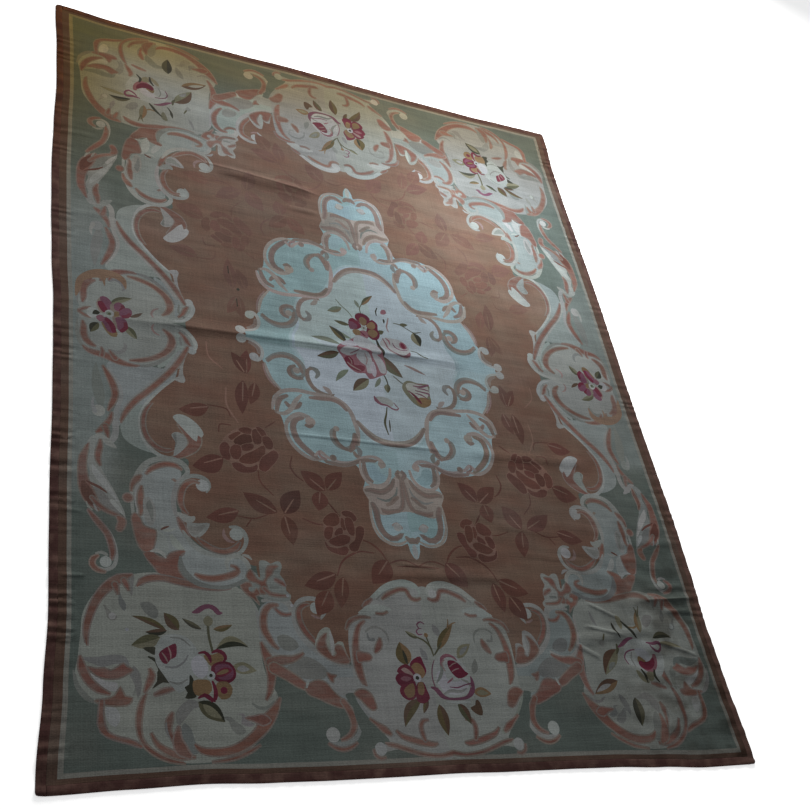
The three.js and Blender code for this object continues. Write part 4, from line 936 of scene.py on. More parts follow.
# the bouquet of the medallion
CENTRE = [
    *leaf("grass", "mist", (-118, -4), (-208, 14), 38, 4),
    *leaf("grass", "mist", (-76, 26), (-144, 64), 26, -2, -1),
    *leaf("olive", "dark", (-96, 10), (-144, 64), 24, -2, -1),
    *leaf("moss", "umber", (-126, -32), (-197, -56), 26, 3, -1),
    *leaf("grass", None, (-104, -90), (-150, -138), 18, -4),
    *leaf("lime", "umber", (-44, -114), (-101, -164), 34, -2, -1),
    *leaf("moss", "umber", (8, -24), (70, -94), 38, -4),
    *leaf("ochre", "moss", (-24, 164), (20, 210), 17, 2),
    *leaf("grass", None, (-34, 152), (-45, 182), 12, 0),
    *leaf("grass", "lime", (-92, 142), (-142, 120), 22, 2),
    *leaf("moss", None, (-76, 78), (-126, 88), 14, 2),
    *leaf("lime", "dark", (136, 86), (153, 36), 36, 0),
    *leaf("moss", None, (95, 110), (124, 114), 13, 0),
    *leaf("moss", None, (12, 62), (36, 74), 16, 0),
    *leaf("grass", None, (-6, -104), (-30, -142), 13, 2),
    *leaf("lime", "moss", (15, -124), (10, -156), 20, -2),
    *leaf("pink", None, (80, -44), (152, -74), 10, 2),
    *shapes([
        ("moss", (-32, 130, 3), (-32, 152, 3), (-22, 168, 3)),
        ("grass", (-108, 172, 3), (-92, 148, 4), (-74, 130, 4), (-62, 110, 3)),
        ("moss", (74, 112, 3), (96, 110, 4), (124, 94, 3), (140, 86, 4), (166, 94, 2)),
        ("dark", (29, 164, 3), (21, 148, 5), (21, 131, 3)),
        ("wine", (36, 142), (42, 158), (54, 160), (57, 148), (46, 140)),
        ("dark", (42, 122, 3), (43, 115, 7), (42, 106, 3)),
        ("pink", (60, 130, 3), (54, 110, 5), (48, 92, 5), (52, 74, 3)),
        ("moss", (114, 12, 3), (134, 9, 4), (150, -5, 5), (168, -10, 3)),
        ("dark", (5, 36, 6), (10, 12, 10), (18, -8, 11), (16, -24, 6)),
        ("moss", (38, -92, 3), (58, -110, 4), (70, -120, 3)),
        ("dark", (6, -88, 4), (13, -108, 5), (15, -126, 4)),
        ("moss", (-2, -206, 3), (-8, -230, 5), (-18, -262, 7), (-14, -302, 3)),
        ("moss", (-3, -250, 2), (-4, -270, 5), (-6, -290, 2)),
        ("crimson", (-54, 110), (-48, 126), (-32, 132), (-16, 128), (-4, 114), (-10, 96),
         (-26, 84), (-42, 92)),
        ("ochre", (-42, 102), (-34, 116), (-24, 116), (-16, 104), (-22, 88), (-34, 84)),
        ("crimson", (-76, 98), (-62, 108), (-46, 96), (-36, 80), (-54, 66), (-76, 66)),
        ("plum", (-76, 92), (-62, 92), (-50, 80), (-58, 66), (-76, 64)),
        ("crimson", (-8, 104), (4, 112), (18, 98), (16, 76), (20, 58), (10, 38), (-8, 34),
         (-24, 52), (-20, 74)),
        ("ochre", (-12, 96), (2, 104), (10, 94), (6, 78), (-8, 74), (-22, 82)),
        ("ochre", (-14, 70), (2, 74), (14, 64), (8, 50), (-6, 42), (-20, 56)),
        ("wine", (-52, 52), (-40, 64), (-24, 64), (-18, 50), (-26, 34), (-44, 36)),
        ("ochre", (-70, 58), (-58, 66), (-44, 62), (-46, 46), (-62, 42)),
        ("crimson", (-44, 60, 3), (-36, 50, 5), (-30, 44, 3)),
        ("light", (-30, 75, 9)),
        ("moss", (-30, 75, 3)),
        ("wine", (-132, -18), (-112, 4), (-84, 22), (-58, 36), (-30, 34), (4, 12), (14, -10),
         (20, -56), (16, -88), (-4, -98), (-22, -108), (-42, -114), (-52, -96), (-78, -98),
         (-104, -78), (-116, -48)),
        ("white", (-66, 38), (-50, 44), (-20, 32), (6, 6), (12, -14), (-6, -22), (-34, -6),
         (-58, -2), (-72, 14)),
        ("white", (-118, 0), (-98, 16), (-78, 20), (-62, 4), (-80, -4), (-104, -6)),
        ("white", (-122, -28), (-106, -10), (-72, -6), (-52, -12), (-74, -30), (-100, -38)),
        ("white", (-72, -34), (-50, -14), (-30, -20), (-22, -60), (-30, -92), (-44, -92),
         (-46, -66), (-58, -58)),
        ("white", (-20, -18), (4, -28), (18, -58), (14, -86), (0, -86), (-8, -60), (-16, -36)),
        ("white", (-30, -62), (-20, -48), (-14, -84), (-24, -106), (-32, -88)),
        ("crimson", (-112, -50), (-98, -40), (-84, -50), (-82, -70), (-66, -68), (-50, -70),
         (-54, -86), (-72, -92), (-98, -82), (-108, -68)),
        ("pink", (-104, -62, 3), (-94, -72, 6), (-78, -82, 4), (-64, -88, 3)),
        ("pink", (-98, -44, 2), (-90, -56, 4), (-90, -68, 2)),
        ("wine", (-56, -8, 2), (-68, -18, 3), (-90, -30, 3)),
        ("pink", (-44, -22, 2), (-38, -44, 4), (-44, -62, 3)),
        ("light", (20, 36), (36, 50), (62, 50), (88, 46), (106, 30), (112, 6), (100, -22),
         (72, -18), (48, -10), (30, 4), (14, 20)),
        ("wine", (26, 46, 3), (34, 28, 5), (40, 8, 5), (60, -9, 4), (86, -16, 5), (102, -10, 12),
         (110, 4, 3)),
        ("wine", (36, 48, 3), (46, 40, 6), (48, 26, 3)),
        ("plum", (58, 34, 2), (62, 20, 4), (78, 10, 4), (104, 12, 3)),
        ("wine", (80, 34), (88, 42), (100, 36), (104, 22), (94, 14), (82, 20)),
        ("crimson", (84, 32), (90, 38), (97, 32), (98, 20), (90, 18)),
        ("light", (-32, -176), (-14, -172), (8, -176), (22, -190), (12, -204), (-12, -198)),
        ("wine", (-37, -172, 3), (-33, -186, 12), (-20, -198, 8), (0, -201, 5), (14, -210, 5),
         (30, -212, 5), (35, -204, 3)),
        ("wine", (22, -188, 2), (28, -198, 4), (35, -206, 2)),
        ("lime", (66, -114), (84, -101), (112, -106), (152, -108), (148, -140), (148, -172),
         (120, -194), (94, -186), (70, -156), (60, -132)),
        ("light", (74, -118), (90, -108), (118, -112), (146, -114), (142, -150), (110, -166),
         (84, -150)),
        ("ochre", (100, -166), (124, -156), (148, -164), (144, -180), (120, -192), (102, -184)),
        ("crimson", (78, -138, 3), (95, -152, 8), (109, -170, 9), (115, -180, 3)),
        ("plum", (100, -144, 2), (120, -148, 5), (140, -160, 2)),
        ("plum", (102, -134, 3), (125, -138, 5), (147, -142, 6), (143, -150, 2)),
        ("plum", (98, -118, 3), (120, -119, 7), (149, -109, 7)),
        ("plum", (110, -126, 2), (130, -126, 5), (148, -130, 3)),
        ("plum", (108, -110, 2), (130, -109, 3)),
    ]),
]


# The whole cartoon. The scrollwork is drawn for the lower left quarter and mirrored to the
# other three, about the long axis and about the cross axis, which lies a little below the
# middle. The upper half was woven two and a half per cent longer. The bouquets at opposite
# corners and ends are the same drawing turned half round.

CROSS_AXIS = -17.0
UPPER_STRETCH = 1.025
# half sizes of the cloth inside the brown band, and inside the cream stripe next to it
INSIDE_BAND = (885, 1197)
INSIDE_STRIPE = (874, 1187)
# how far a blush row reaches past a reddish line, and how far the line itself is drawn in
BLUSH_MARGIN = 3.0
DRAWN_IN = {"rust": 0.8, "dusk": 1.9}
# how far the two rows round the pale middle of the medallion reach past it
MIST_MARGINS = {"haze": 16, "fog": 8}
# what the field sprays have faded to in the head half, if they end clear of the cross axis
FADED = {"rose": "ghost", "vein": "tan"}
CLEAR_OF_AXIS = -60
SIDE_PETAL_MARGIN = 3.5


def rectangle(half_x, half_y):
    """The outline of a rectangle about the middle, with a point every 12 mm across and 8 mm
    along."""
    x = np.linspace(-half_x, half_x, int(half_x / 6))[:-1]
    y = np.linspace(-half_y, half_y, int(half_y / 4))[:-1]
    return np.vstack([np.stack([x, 0 * x - half_y], 1), np.stack([0 * y + half_x, y], 1),
                      np.stack([-x, 0 * x + half_y], 1), np.stack([0 * y - half_x, -y], 1)])


def feathered(drawn):
    """The shapes, each rust or dusk one drawn in a little over a larger blush one: the weaver
    softened those lines with a row of a colour between the two, and the edge of the pale middle
    of the medallion with two rows."""
    for dye, outline in drawn:
        if dye == "mist":
            for between, margin in MIST_MARGINS.items():
                yield between, grown(outline, margin)[::2]
        if dye in DRAWN_IN:
            yield "blush", grown(outline, BLUSH_MARGIN)[::2 if len(outline) > 40 else 1]
            outline = grown(outline, -DRAWN_IN[dye])
        yield dye, outline


cartoon = [("brown", rectangle(PANEL_X, PANEL_Y)), ("stripe", rectangle(*INSIDE_BAND)),
           ("sage", rectangle(*INSIDE_STRIPE))]
for dye, outline in feathered(shapes(BORDER + MEDALLION)):
    upper = CROSS_AXIS + (outline[:, 1] + CROSS_AXIS) * UPPER_STRETCH
    for side in (-1, 1):
        cartoon.append((dye, np.stack([side * outline[:, 0], -outline[:, 1]], 1)))
        cartoon.append((dye, np.stack([side * outline[:, 0], upper], 1)))
for dye, outline in field_sprays:
    upper = CROSS_AXIS + (CROSS_AXIS - outline[:, 1]) * UPPER_STRETCH
    for side in (-1, 1):
        cartoon.append((dye, outline * (side, 1)))
        if outline[:, 1].max() < CLEAR_OF_AXIS:
            cartoon.append((FADED[dye], np.stack([side * outline[:, 0], upper], 1)))
for bouquet in (CORNER, SECOND_CORNER, END_SPRAY, SIDE_SPRAY):
    for dye, outline in bouquet:
        if bouquet is SIDE_SPRAY and dye in ("plum", "crimson"):
            outline = grown(outline, SIDE_PETAL_MARGIN)
        cartoon.append((dye, outline))
        cartoon.append((dye, (0, 2 * CROSS_AXIS) - outline))
cartoon += CENTRE
# worn places: slits between two dyes that have opened, and knots of bare warp
cartoon += shapes([
    ("dark", (-437, 200, 3), (-437, 230, 3)), ("dark", (-420, 80, 3), (-420, 110, 3)),
    ("dark", (-413, 145, 5)), ("dark", (885, 660, 3), (885, 690, 3)),
    ("dark", (885, 720, 3), (885, 760, 3)), ("dark", (883, 1124, 3), (883, 1136, 3)),
    ("white", (-368, -797, 4)), ("white", (-360, -822, 4)), ("white", (-748, -888, 4))])


# The woven panel: wool weft beaten down over hidden warps, each dye turning back at the edge
# of its own shape. The face is cut along every outline of the cartoon, so the edges are as
# crisp as the turns of the weft, and the back shows the same design more coarsely.

FACE_GRID = 16.0
BACK_GRID = 40.0
RIM_STEP = 8.0
CREASE_STEP = 18.0
# the back keeps the shapes larger than this, by every fourth point
LEAST_BACK_SHAPE = 140
# how much the dye lots differ, and the dyes that were dyed in one lot
LOT_SPREAD = 0.05
ONE_LOT = ("sage", "stripe", "brown", "tan")
# each dye's red, green and blue out of 255
DYES = {
    "brown": (68, 54, 47), "stripe": (97, 97, 93), "sage": (70, 77, 74), "pale": (103, 109, 109),
    "tan": (87, 72, 63), "rose": (74, 51, 46), "vein": (96, 77, 69), "ghost": (82, 62, 56),
    "rust": (91, 66, 60), "dusk": (95, 82, 78), "blush": (95, 87, 83), "clay": (97, 80, 69),
    "cream": (106, 108, 107), "light": (116, 119, 119), "white": (119, 121, 126),
    "shell": (112, 106, 103), "grey": (91, 93, 92), "dark": (42, 43, 37), "sky": (107, 125, 131),
    "haze": (110, 127, 133), "fog": (116, 130, 136), "mist": (122, 134, 139),
    "pink": (102, 87, 86), "crimson": (76, 33, 45), "wine": (95, 66, 74), "plum": (82, 54, 67),
    "ochre": (89, 74, 57), "umber": (64, 52, 44), "olive": (68, 62, 44), "moss": (62, 62, 50),
    "lime": (87, 86, 73), "grass": (84, 91, 82)}
# marks that tell the material where the tan field and the madder reds are
FIELD_MARK = 1.0
MADDER_MARK = 0.5
MARKS = {"tan": FIELD_MARK, "rust": MADDER_MARK, "dusk": MADDER_MARK}


def cut_cloth(outlines, spacing):
    """Points and triangles of the flat panel, cut along the outlines, with a grid of the given
    spacing between them and evenly spaced points on the rim."""
    across = np.linspace(-PANEL_X, PANEL_X, int(2 * PANEL_X / RIM_STEP) + 1)
    along = np.linspace(-PANEL_Y, PANEL_Y, int(2 * PANEL_Y / RIM_STEP) + 1)
    rim = np.vstack([
        np.stack([across[:-1], np.full(len(across) - 1, -PANEL_Y)], 1),
        np.stack([np.full(len(along) - 1, PANEL_X), along[:-1]], 1),
        np.stack([across[:0:-1], np.full(len(across) - 1, PANEL_Y)], 1),
        np.stack([np.full(len(along) - 1, -PANEL_X), along[:0:-1]], 1)])
    # nothing comes nearer to the rim than 2 mm, so that no triangle there is a sliver
    corner = np.array([PANEL_X, PANEL_Y])
    rings = [rim] + [np.clip(outline, 2 - corner, corner - 2) for outline in outlines]
    edges = []
    start = 0
    for ring in rings:
        numbers = start + np.arange(len(ring))
        edges.append(np.stack([numbers, np.roll(numbers, -1)], 1))
        start += len(ring)
    grid_x = np.linspace(-PANEL_X, PANEL_X, int(2 * PANEL_X / spacing))[1:-1]
    grid_y = np.linspace(-PANEL_Y, PANEL_Y, int(2 * PANEL_Y / spacing))[1:-1]
    grid = np.stack(np.meshgrid(grid_x, grid_y), -1)
    grid[1::2, :, 0] += (grid_x[1] - grid_x[0]) / 3
    grid = np.clip(grid.reshape(-1, 2), 3 - corner, corner - 3)
    points, _, faces, *_ = delaunay_2d_cdt(
        np.vstack(rings + [grid]).tolist(), np.vstack(edges).tolist(), [], 0, 0.05, False)
    return np.array([tuple(p) for p in points]), np.array(faces)


def inside(outline, points):
    """Which points lie inside a closed outline, by the signed count of the edges that pass to
    the right of each point."""
    a, b = outline, np.roll(outline, -1, axis=0)
    x, y = points[:, :1], points[:, 1:]
    turn = (b[:, 0] - a[:, 0]) * (y - a[:, 1]) - (x - a[:, 0]) * (b[:, 1] - a[:, 1])
    upward = (a[:, 1] <= y) & (b[:, 1] > y) & (turn > 0)
    downward = (a[:, 1] > y) & (b[:, 1] <= y) & (turn < 0)
    return upward.sum(1) != downward.sum(1)


def linear(dye):
    """The dye's colour for the shader: its share of 255 to the power of 2.2."""
    return (np.array(DYES[dye]) / 255) ** 2.2


def dyed(points):
    """The colour at each point: the dye of the last shape of the cartoon that holds it, a
    little lighter or darker from one shape to the next as the dye lots differed. The sage of
    the side borders was woven paler over the middle of their length, and eases back. The colour
    is darker towards the foot end, six hundredths all across and a tenth more at its right
    corner. The fourth value is the mark of the dye, or nothing."""
    order = np.argsort(points[:, 0])
    sorted_x = points[order, 0]
    colour = np.zeros((len(points), 4))
    lots = np.random.default_rng(7).normal(0, 1, (len(cartoon), 3))
    for (dye, outline), lot in zip(cartoon, lots):
        low, high = outline.min(0), outline.max(0)
        near = order[np.searchsorted(sorted_x, low[0]):np.searchsorted(sorted_x, high[0])]
        near = near[(points[near, 1] >= low[1]) & (points[near, 1] <= high[1])]
        hit = near[inside(outline, points[near])]
        spread = 0 if dye in ONE_LOT else LOT_SPREAD
        colour[hit, :3] = linear(dye) * (1 + spread * lot[0]) * (1 + 0.35 * spread * lot)
        if dye == "sage":
            x, y = points[hit].T
            paler = (ease((-740 - x) / 60) * ease((y + 620) / 140) * ease((560 - y) / 260)
                     + 0.8 * ease((x - 740) / 60) * ease((y + 360) / 60) * ease((520 - y) / 260))
            colour[hit, :3] += 0.6 * paler[:, None] * (linear("pale") - linear("sage"))
        colour[hit, 3] = MARKS.get(dye, 0.0)
    x, y = points.T
    # darker towards the foot end, and more towards its right corner
    footward_darkening = (0.06 * ease((-250 - y) / 500)
              + 0.10 * ease((x - 150) / 550) * ease((-250 - y) / 650))
    colour[:, :3] *= 1 - footward_darkening[:, None]
    return np.clip(colour, 0, 1)


def rim_loop(points):
    """Numbers of the points on the rim of the flat panel, in order round it."""
    x, y = points.T
    on_rim = np.flatnonzero((np.abs(x) > PANEL_X - 0.5) | (np.abs(y) > PANEL_Y - 0.5))
    return on_rim[np.argsort(np.arctan2(y[on_rim] / PANEL_Y, x[on_rim] / PANEL_X))]


def counter_clockwise(points, tris):
    """The triangles turned so that each runs the same way round, seen from above, and those of
    no area left out."""
    a, b, c = (points[tris[:, k]] for k in range(3))
    area = (b[:, 0] - a[:, 0]) * (c[:, 1] - a[:, 1]) - (b[:, 1] - a[:, 1]) * (c[:, 0] - a[:, 0])
    keep = np.abs(area) > 1e-4
    return np.where((area > 0)[:, None], tris, tris[:, ::-1])[keep]


# the creases need points closer together than the grid: five rows along each
crease_lines = []
for x0, y0, x1, y1, _, half in CREASES:
    steps = np.linspace(0, 1, int(np.hypot(x1 - x0, y1 - y0) / CREASE_STEP) + 2)[:, None]
    across = np.array([y0 - y1, x1 - x0]) / np.hypot(x1 - x0, y1 - y0)
    crease_lines += [(x0, y0) + steps * (x1 - x0, y1 - y0) + across * half * offset
                     for offset in (-1, -0.5, 0, 0.5, 1)]
face_xy, face_tris = cut_cloth([outline for _, outline in cartoon] + crease_lines, FACE_GRID)
face_tris = counter_clockwise(face_xy, face_tris)
back_xy, back_tris = cut_cloth(
    [outline[::4] for _, outline in cartoon if np.ptp(outline, axis=0).max() > LEAST_BACK_SHAPE],
    BACK_GRID)
back_tris = counter_clockwise(back_xy, back_tris)[:, ::-1] + len(face_xy)
face_rim = rim_loop(face_xy)
back_rim = rim_loop(back_xy) + len(face_xy)
next_face, next_back = np.roll(face_rim, -1), np.roll(back_rim, -1)
wall_tris = np.vstack([np.stack([face_rim, back_rim, next_back], 1),
                       np.stack([face_rim, next_back, next_face], 1)])
panel_tris = np.vstack([face_tris, back_tris, wall_tris])
flat_xy = np.vstack([face_xy, back_xy])
relief = CLOTH_THICKNESS + ruffle(*face_xy.T)
panel_mesh = bpy.data.meshes.new("woven_face")
panel_mesh.from_pydata(
    np.vstack([lay(*face_xy.T, relief), lay(*back_xy.T, np.zeros(len(back_xy)))]).tolist(),
    [], panel_tris.tolist())
panel_mesh.update()
panel_mesh.polygons.foreach_set("use_smooth", np.ones(len(panel_tris), bool))

# each triangle takes its colour at its centre, and the wall takes that of the rim
centres = np.vstack([face_xy[face_tris].mean(1), flat_xy[back_tris].mean(1),
                     face_xy[face_rim], face_xy[face_rim]])
colours = np.repeat(dyed(centres), 3, axis=0)
dye_layer = panel_mesh.color_attributes.new("dye", "FLOAT_COLOR", "CORNER")
dye_layer.data.foreach_set("color", colours.astype(np.float32).ravel())

# the map for baking: the back and the wall squeezed into its lowest fifth, the face above them
corner_xy = flat_xy[panel_tris.ravel()]
uv = 0.5 + corner_xy / (2 * PANEL_X, 2 * PANEL_Y) * 0.998
on_face = np.arange(len(corner_xy)) < 3 * len(face_tris)
uv[:, 1] = np.where(on_face, 0.21 + uv[:, 1] * 0.788, 0.002 + uv[:, 1] * 0.2)
bake_map = panel_mesh.uv_layers.new(name="OFBake")
bake_map.data.foreach_set("uv", uv.astype(np.float32).ravel())


def surface(x, y):
    """Height of the woven face above a flat one: the folds and the ruffle together."""
    return lift(x, y) + ruffle(x, y)


# the normals: the slope of the surface over 3 mm on the face, straight down on the back, and
# straight out on the wall
reach = 1.5
x, y = face_xy.T
up = np.stack([surface(x - reach, y) - surface(x + reach, y),
               surface(x, y - reach) - surface(x, y + reach), np.full(len(x), 2 * reach)], 1)
up /= np.linalg.norm(up, axis=1)[:, None]
normals = np.vstack([up, np.tile((0.0, 0.0, -1.0), (len(back_xy), 1))])[panel_tris.ravel()]
on_wall = slice(3 * (len(face_tris) + len(back_tris)), None)
outward = np.abs(corner_xy[on_wall]) > np.array([PANEL_X, PANEL_Y]) - 0.5
outward = np.sign(corner_xy[on_wall]) * outward
normals[on_wall] = np.hstack([outward, np.zeros((len(outward), 1))])
panel_mesh.normals_split_custom_set(normals.tolist())
panel = bpy.data.objects.new("woven_face", panel_mesh)
bpy.context.collection.objects.link(panel)


def joined(tree, kind, *sources, **settings):
    """A new node of the kind, its first inputs fed in turn by sockets or set to values, with
    the named properties set. Returns its first output."""
    node = tree.nodes.new(kind)
    for key, value in settings.items():
        setattr(node, key, value)
    for socket, source in zip(node.inputs, sources):
        if isinstance(source, bpy.types.NodeSocket):
            tree.links.new(source, socket)
        elif source is not None:
            socket.default_value = source
    return node.outputs[0]


def maths(tree, operation, *sources):
    """The result of a sum on numbers."""
    return joined(tree, "ShaderNodeMath", *sources, operation=operation)


def ramp(tree, value, *ends, smooth=False):
    """The value on a straight or smooth ramp, from the first end to the second, between 0 and 1
    or between the third and the fourth."""
    kind = "SMOOTHSTEP" if smooth else "LINEAR"
    return joined(tree, "ShaderNodeMapRange", value, *ends, interpolation_type=kind)


def mixed(tree, amount, first, second):
    """The first colour going over to the second as the amount rises from 0 to 1."""
    not_for_colours = [None] * 5
    mix = joined(tree, "ShaderNodeMix", amount, *not_for_colours, first, second, data_type="RGBA")
    return mix.node.outputs[2]


def stained(tree, colour, amount, stain):
    """The colour multiplied by that of a stain, as far as the amount says."""
    film = mixed(tree, amount, (1.0, 1.0, 1.0, 1), stain)
    return joined(tree, "ShaderNodeVectorMath", colour, film, operation="MULTIPLY")


def noise(tree, place, stretch, detail):
    """Smooth noise over the place, with so many lumps to the metre across, along and up."""
    scaled = joined(tree, "ShaderNodeVectorMath", place, stretch, operation="MULTIPLY")
    node = tree.nodes.new("ShaderNodeTexNoise")
    tree.links.new(scaled, node.inputs["Vector"])
    node.inputs["Scale"].default_value = 1.0
    node.inputs["Detail"].default_value = detail
    return node.outputs["Fac"]


def wool_group():
    """Beaten wool weft over 3.3 mm ribs. Shade is one plus noises in long thin weft streaks,
    in wider dye bands, in clouds of wear, in single fibres and along the warps; Height is the
    ribs' sine with the fibres and streaks over it; Rough follows the clouds; the fourth output
    is painted warm light, a yellow cast in a band along the head that is stronger to the left
    and in a band down the left side of the head half; the fifth is blotches of darker colour
    that thicken towards the right foot corner."""
    tree = bpy.data.node_groups.new("beaten_wool", "ShaderNodeTree")
    place = tree.nodes.new("ShaderNodeTexCoord").outputs["Object"]
    streaks = noise(tree, place, (11, 330, 50), 3)
    bands = noise(tree, place, (2.4, 42, 8), 3)
    clouds = noise(tree, place, (9, 9, 9), 5)
    fibres = noise(tree, place, (240, 400, 300), 2)
    warps = noise(tree, place, (300, 8, 50), 2)
    shade = 1.0
    for value, weight in (
            (streaks, 0.55), (bands, 0.40), (clouds, 0.60), (fibres, 0.75), (warps, 0.30)):
        centred = maths(tree, "SUBTRACT", value, 0.5)
        shade = maths(tree, "MULTIPLY_ADD", centred, weight, shade)
    across = joined(tree, "ShaderNodeSeparateXYZ", place)
    along = across.node.outputs["Y"]
    # painted warm light: a yellow cast along the head end, stronger to the left, and down the left side
    # of the head half
    head_band = maths(tree, "MULTIPLY", ramp(tree, along, 0.85, 1.15, smooth=True),
                      ramp(tree, across, 0.7, -0.95, 0.45, 1.0))
    left_band = maths(tree, "MULTIPLY", ramp(tree, across, -0.42, -0.94, smooth=True),
                      ramp(tree, along, 0.20, 1.0, smooth=True))
    painted_warm_light = maths(tree, "MAXIMUM", head_band, left_band)
    # blotches of darker colour, thickening towards the right foot corner
    corner_blotches = ramp(tree, noise(tree, place, (13, 20, 15), 4), 0.44, 0.62)
    corner_blotches = maths(tree, "MULTIPLY", corner_blotches, ramp(tree, across, 0.35, 0.80))
    corner_blotches = maths(tree, "MULTIPLY", corner_blotches, ramp(tree, along, -0.45, -0.85))
    rib_pitch = 0.0033
    ribs = maths(tree, "SINE", maths(tree, "MULTIPLY", across, 2 * np.pi / rib_pitch))
    height = maths(tree, "MULTIPLY_ADD", ribs, 0.15, fibres)
    height = maths(tree, "MULTIPLY_ADD", streaks, 0.9, height)
    rough = maths(tree, "MULTIPLY_ADD", clouds, 0.2, 0.8)
    results = {"Shade": shade, "Height": height, "Rough": rough, "Age": painted_warm_light, "Blotches": corner_blotches}
    for name in results:
        tree.interface.new_socket(name, in_out="OUTPUT", socket_type="NodeSocketFloat")
    out = tree.nodes.new("NodeGroupOutput")
    for name, source in results.items():
        tree.links.new(source, out.inputs[name])
    return tree


beaten_wool = wool_group()


def woollen(name, specular, strength, depth):
    """A material of beaten wool that has its shine, roughness and relief but no colour yet, with
    its node tree, its shader, the wool group's outputs and the place in the carpet."""
    material = bpy.data.materials.new(name)
    material.use_nodes = True
    tree = material.node_tree
    shader = tree.nodes["Principled BSDF"]
    shader.inputs["Specular IOR Level"].default_value = specular
    group = tree.nodes.new("ShaderNodeGroup")
    group.node_tree = beaten_wool
    tree.links.new(group.outputs["Rough"], shader.inputs["Roughness"])
    bump = tree.nodes.new("ShaderNodeBump")
    bump.inputs["Strength"].default_value = strength
    bump.inputs["Distance"].default_value = depth
    tree.links.new(group.outputs["Height"], bump.inputs["Height"])
    tree.links.new(bump.outputs["Normal"], shader.inputs["Normal"])
    place = tree.nodes.new("ShaderNodeTexCoord").outputs["Object"]
    return material, tree, shader, group.outputs, place


wool, tree, shader, cloth, place = woollen(
    "tapestry_wool", specular=0.06, strength=0.5, depth=0.0006)
dye_node = tree.nodes.new("ShaderNodeAttribute")
dye_node.attribute_name = "dye"
mark = dye_node.outputs["Alpha"]
# the field's two lots of wool, one rosier and one more ochre, come and go in clouds
field = maths(tree, "GREATER_THAN", mark, (FIELD_MARK + MADDER_MARK) / 2)
clouds = maths(tree, "MULTIPLY", ramp(tree, noise(tree, place, (6, 11, 7), 5), 0.38, 0.62), field)
tinted = stained(tree, dye_node.outputs["Color"], clouds, (0.98, 0.84, 0.83, 1))
# the madder reds have faded unevenly, in short hatches along the weft
madder = maths(tree, "COMPARE", mark, MADDER_MARK, 0.1)
hatches = ramp(tree, noise(tree, place, (16, 70, 20), 4), 0.42, 0.72, 0.0, 0.6)
hatches = maths(tree, "MULTIPLY", hatches, madder)
tinted = mixed(tree, hatches, tinted, (0.118, 0.093, 0.083, 1))
# faint soiling and rubbed places, where the wool has gone greyer and paler
rubbed = ramp(tree, noise(tree, place, (3.5, 5, 4), 6), 0.5, 0.75, 0.0, 0.22)
tinted = mixed(tree, rubbed, tinted, (0.14, 0.13, 0.115, 1))
# the weave's shade, then painted warm light, a yellow cast over the head end, and darker blotches towards
# the right foot corner over everything
tinted = joined(tree, "ShaderNodeVectorMath", tinted, None, None, cloth["Shade"], operation="SCALE")
# painted warm light: a yellow cast over the head end
tinted = stained(tree, tinted, cloth["Age"], (0.68, 0.45, 0.11, 1))
# darker blotches towards the right foot corner
tinted = stained(tree, tinted, cloth["Blotches"], (0.56, 0.53, 0.50, 1))
tree.links.new(tinted, shader.inputs["Base Color"])
panel_mesh.materials.append(wool)
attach(panel, "root")
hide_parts("woven_panel")


# The binding: four lengths of dark tape folded over the edge and sewn down, the long two
# running the full length and the short two butted between them.

SEAM_GAP = 0.05
TAPE_STEP = 4.0
# place across the tape, and its height there as a share of the cloth's thickness
CROWN = np.array([(0.0, 0.0), (0.0, 0.88), (0.05, 0.99), (0.2, 1.04), (0.5, 1.08), (0.8, 1.04),
                  (0.95, 0.99), (1.0, 0.88), (1.0, 0.0)])


def tape(name, node, low_x, high_x, low_y, high_y):
    """A closed flat tube of tape over a strip of the cut cloth: a grid along and across the
    strip, whose height at each place across is a low rounded crown that falls to the underside
    at both edges, with the cloth's own ruffle added where the stitches pull it."""
    width, length = high_x - low_x, high_y - low_y
    steps = int(max(width, length) / TAPE_STEP)
    u, v = np.meshgrid(CROWN[:, 0], np.linspace(0, 1, steps + 1))
    if width > length:
        u, v = v, u
    x, y = low_x + width * u, low_y + length * v
    height = CLOTH_THICKNESS * CROWN[:, 1] + ruffle(x, y) * (CROWN[:, 1] > 0)
    points = lay(x.ravel(), y.ravel(), height.ravel())
    rows, columns = x.shape
    row = np.arange(rows - 1)[:, None] * columns
    here = (row + np.arange(columns)).ravel()
    beside = (row + (np.arange(columns) + 1) % columns).ravel()
    sides = np.stack([here, beside, beside + columns, here + columns], 1).tolist()
    ends = [list(range(columns)), list(range((rows - 1) * columns, rows * columns))]
    mesh = bpy.data.meshes.new(name)
    mesh.from_pydata(points.tolist(), [], sides + ends)
    mesh.update()
    work = bmesh.new()
    work.from_mesh(mesh)
    bmesh.ops.recalc_face_normals(work, faces=work.faces)
    work.to_mesh(mesh)
    work.free()
    mesh.polygons.foreach_set("use_smooth", np.ones(len(mesh.polygons), bool))
    mesh.materials.append(tape_wool)
    piece = bpy.data.objects.new(name, mesh)
    bpy.context.collection.objects.link(piece)
    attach(piece, "root")
    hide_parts(node)
    return piece


tape_wool, tree, shader, cloth, place = woollen(
    "binding_tape", specular=0.04, strength=0.36, depth=0.0005)
# maroon rubbed to a dusty brown along the raised places, and painted light down the lower
# right side, where the tape is drawn lighter and browner
rubbed = ramp(tree, noise(tree, place, (26, 26, 26), 5), 0.42, 0.68)
across = joined(tree, "ShaderNodeSeparateXYZ", place)
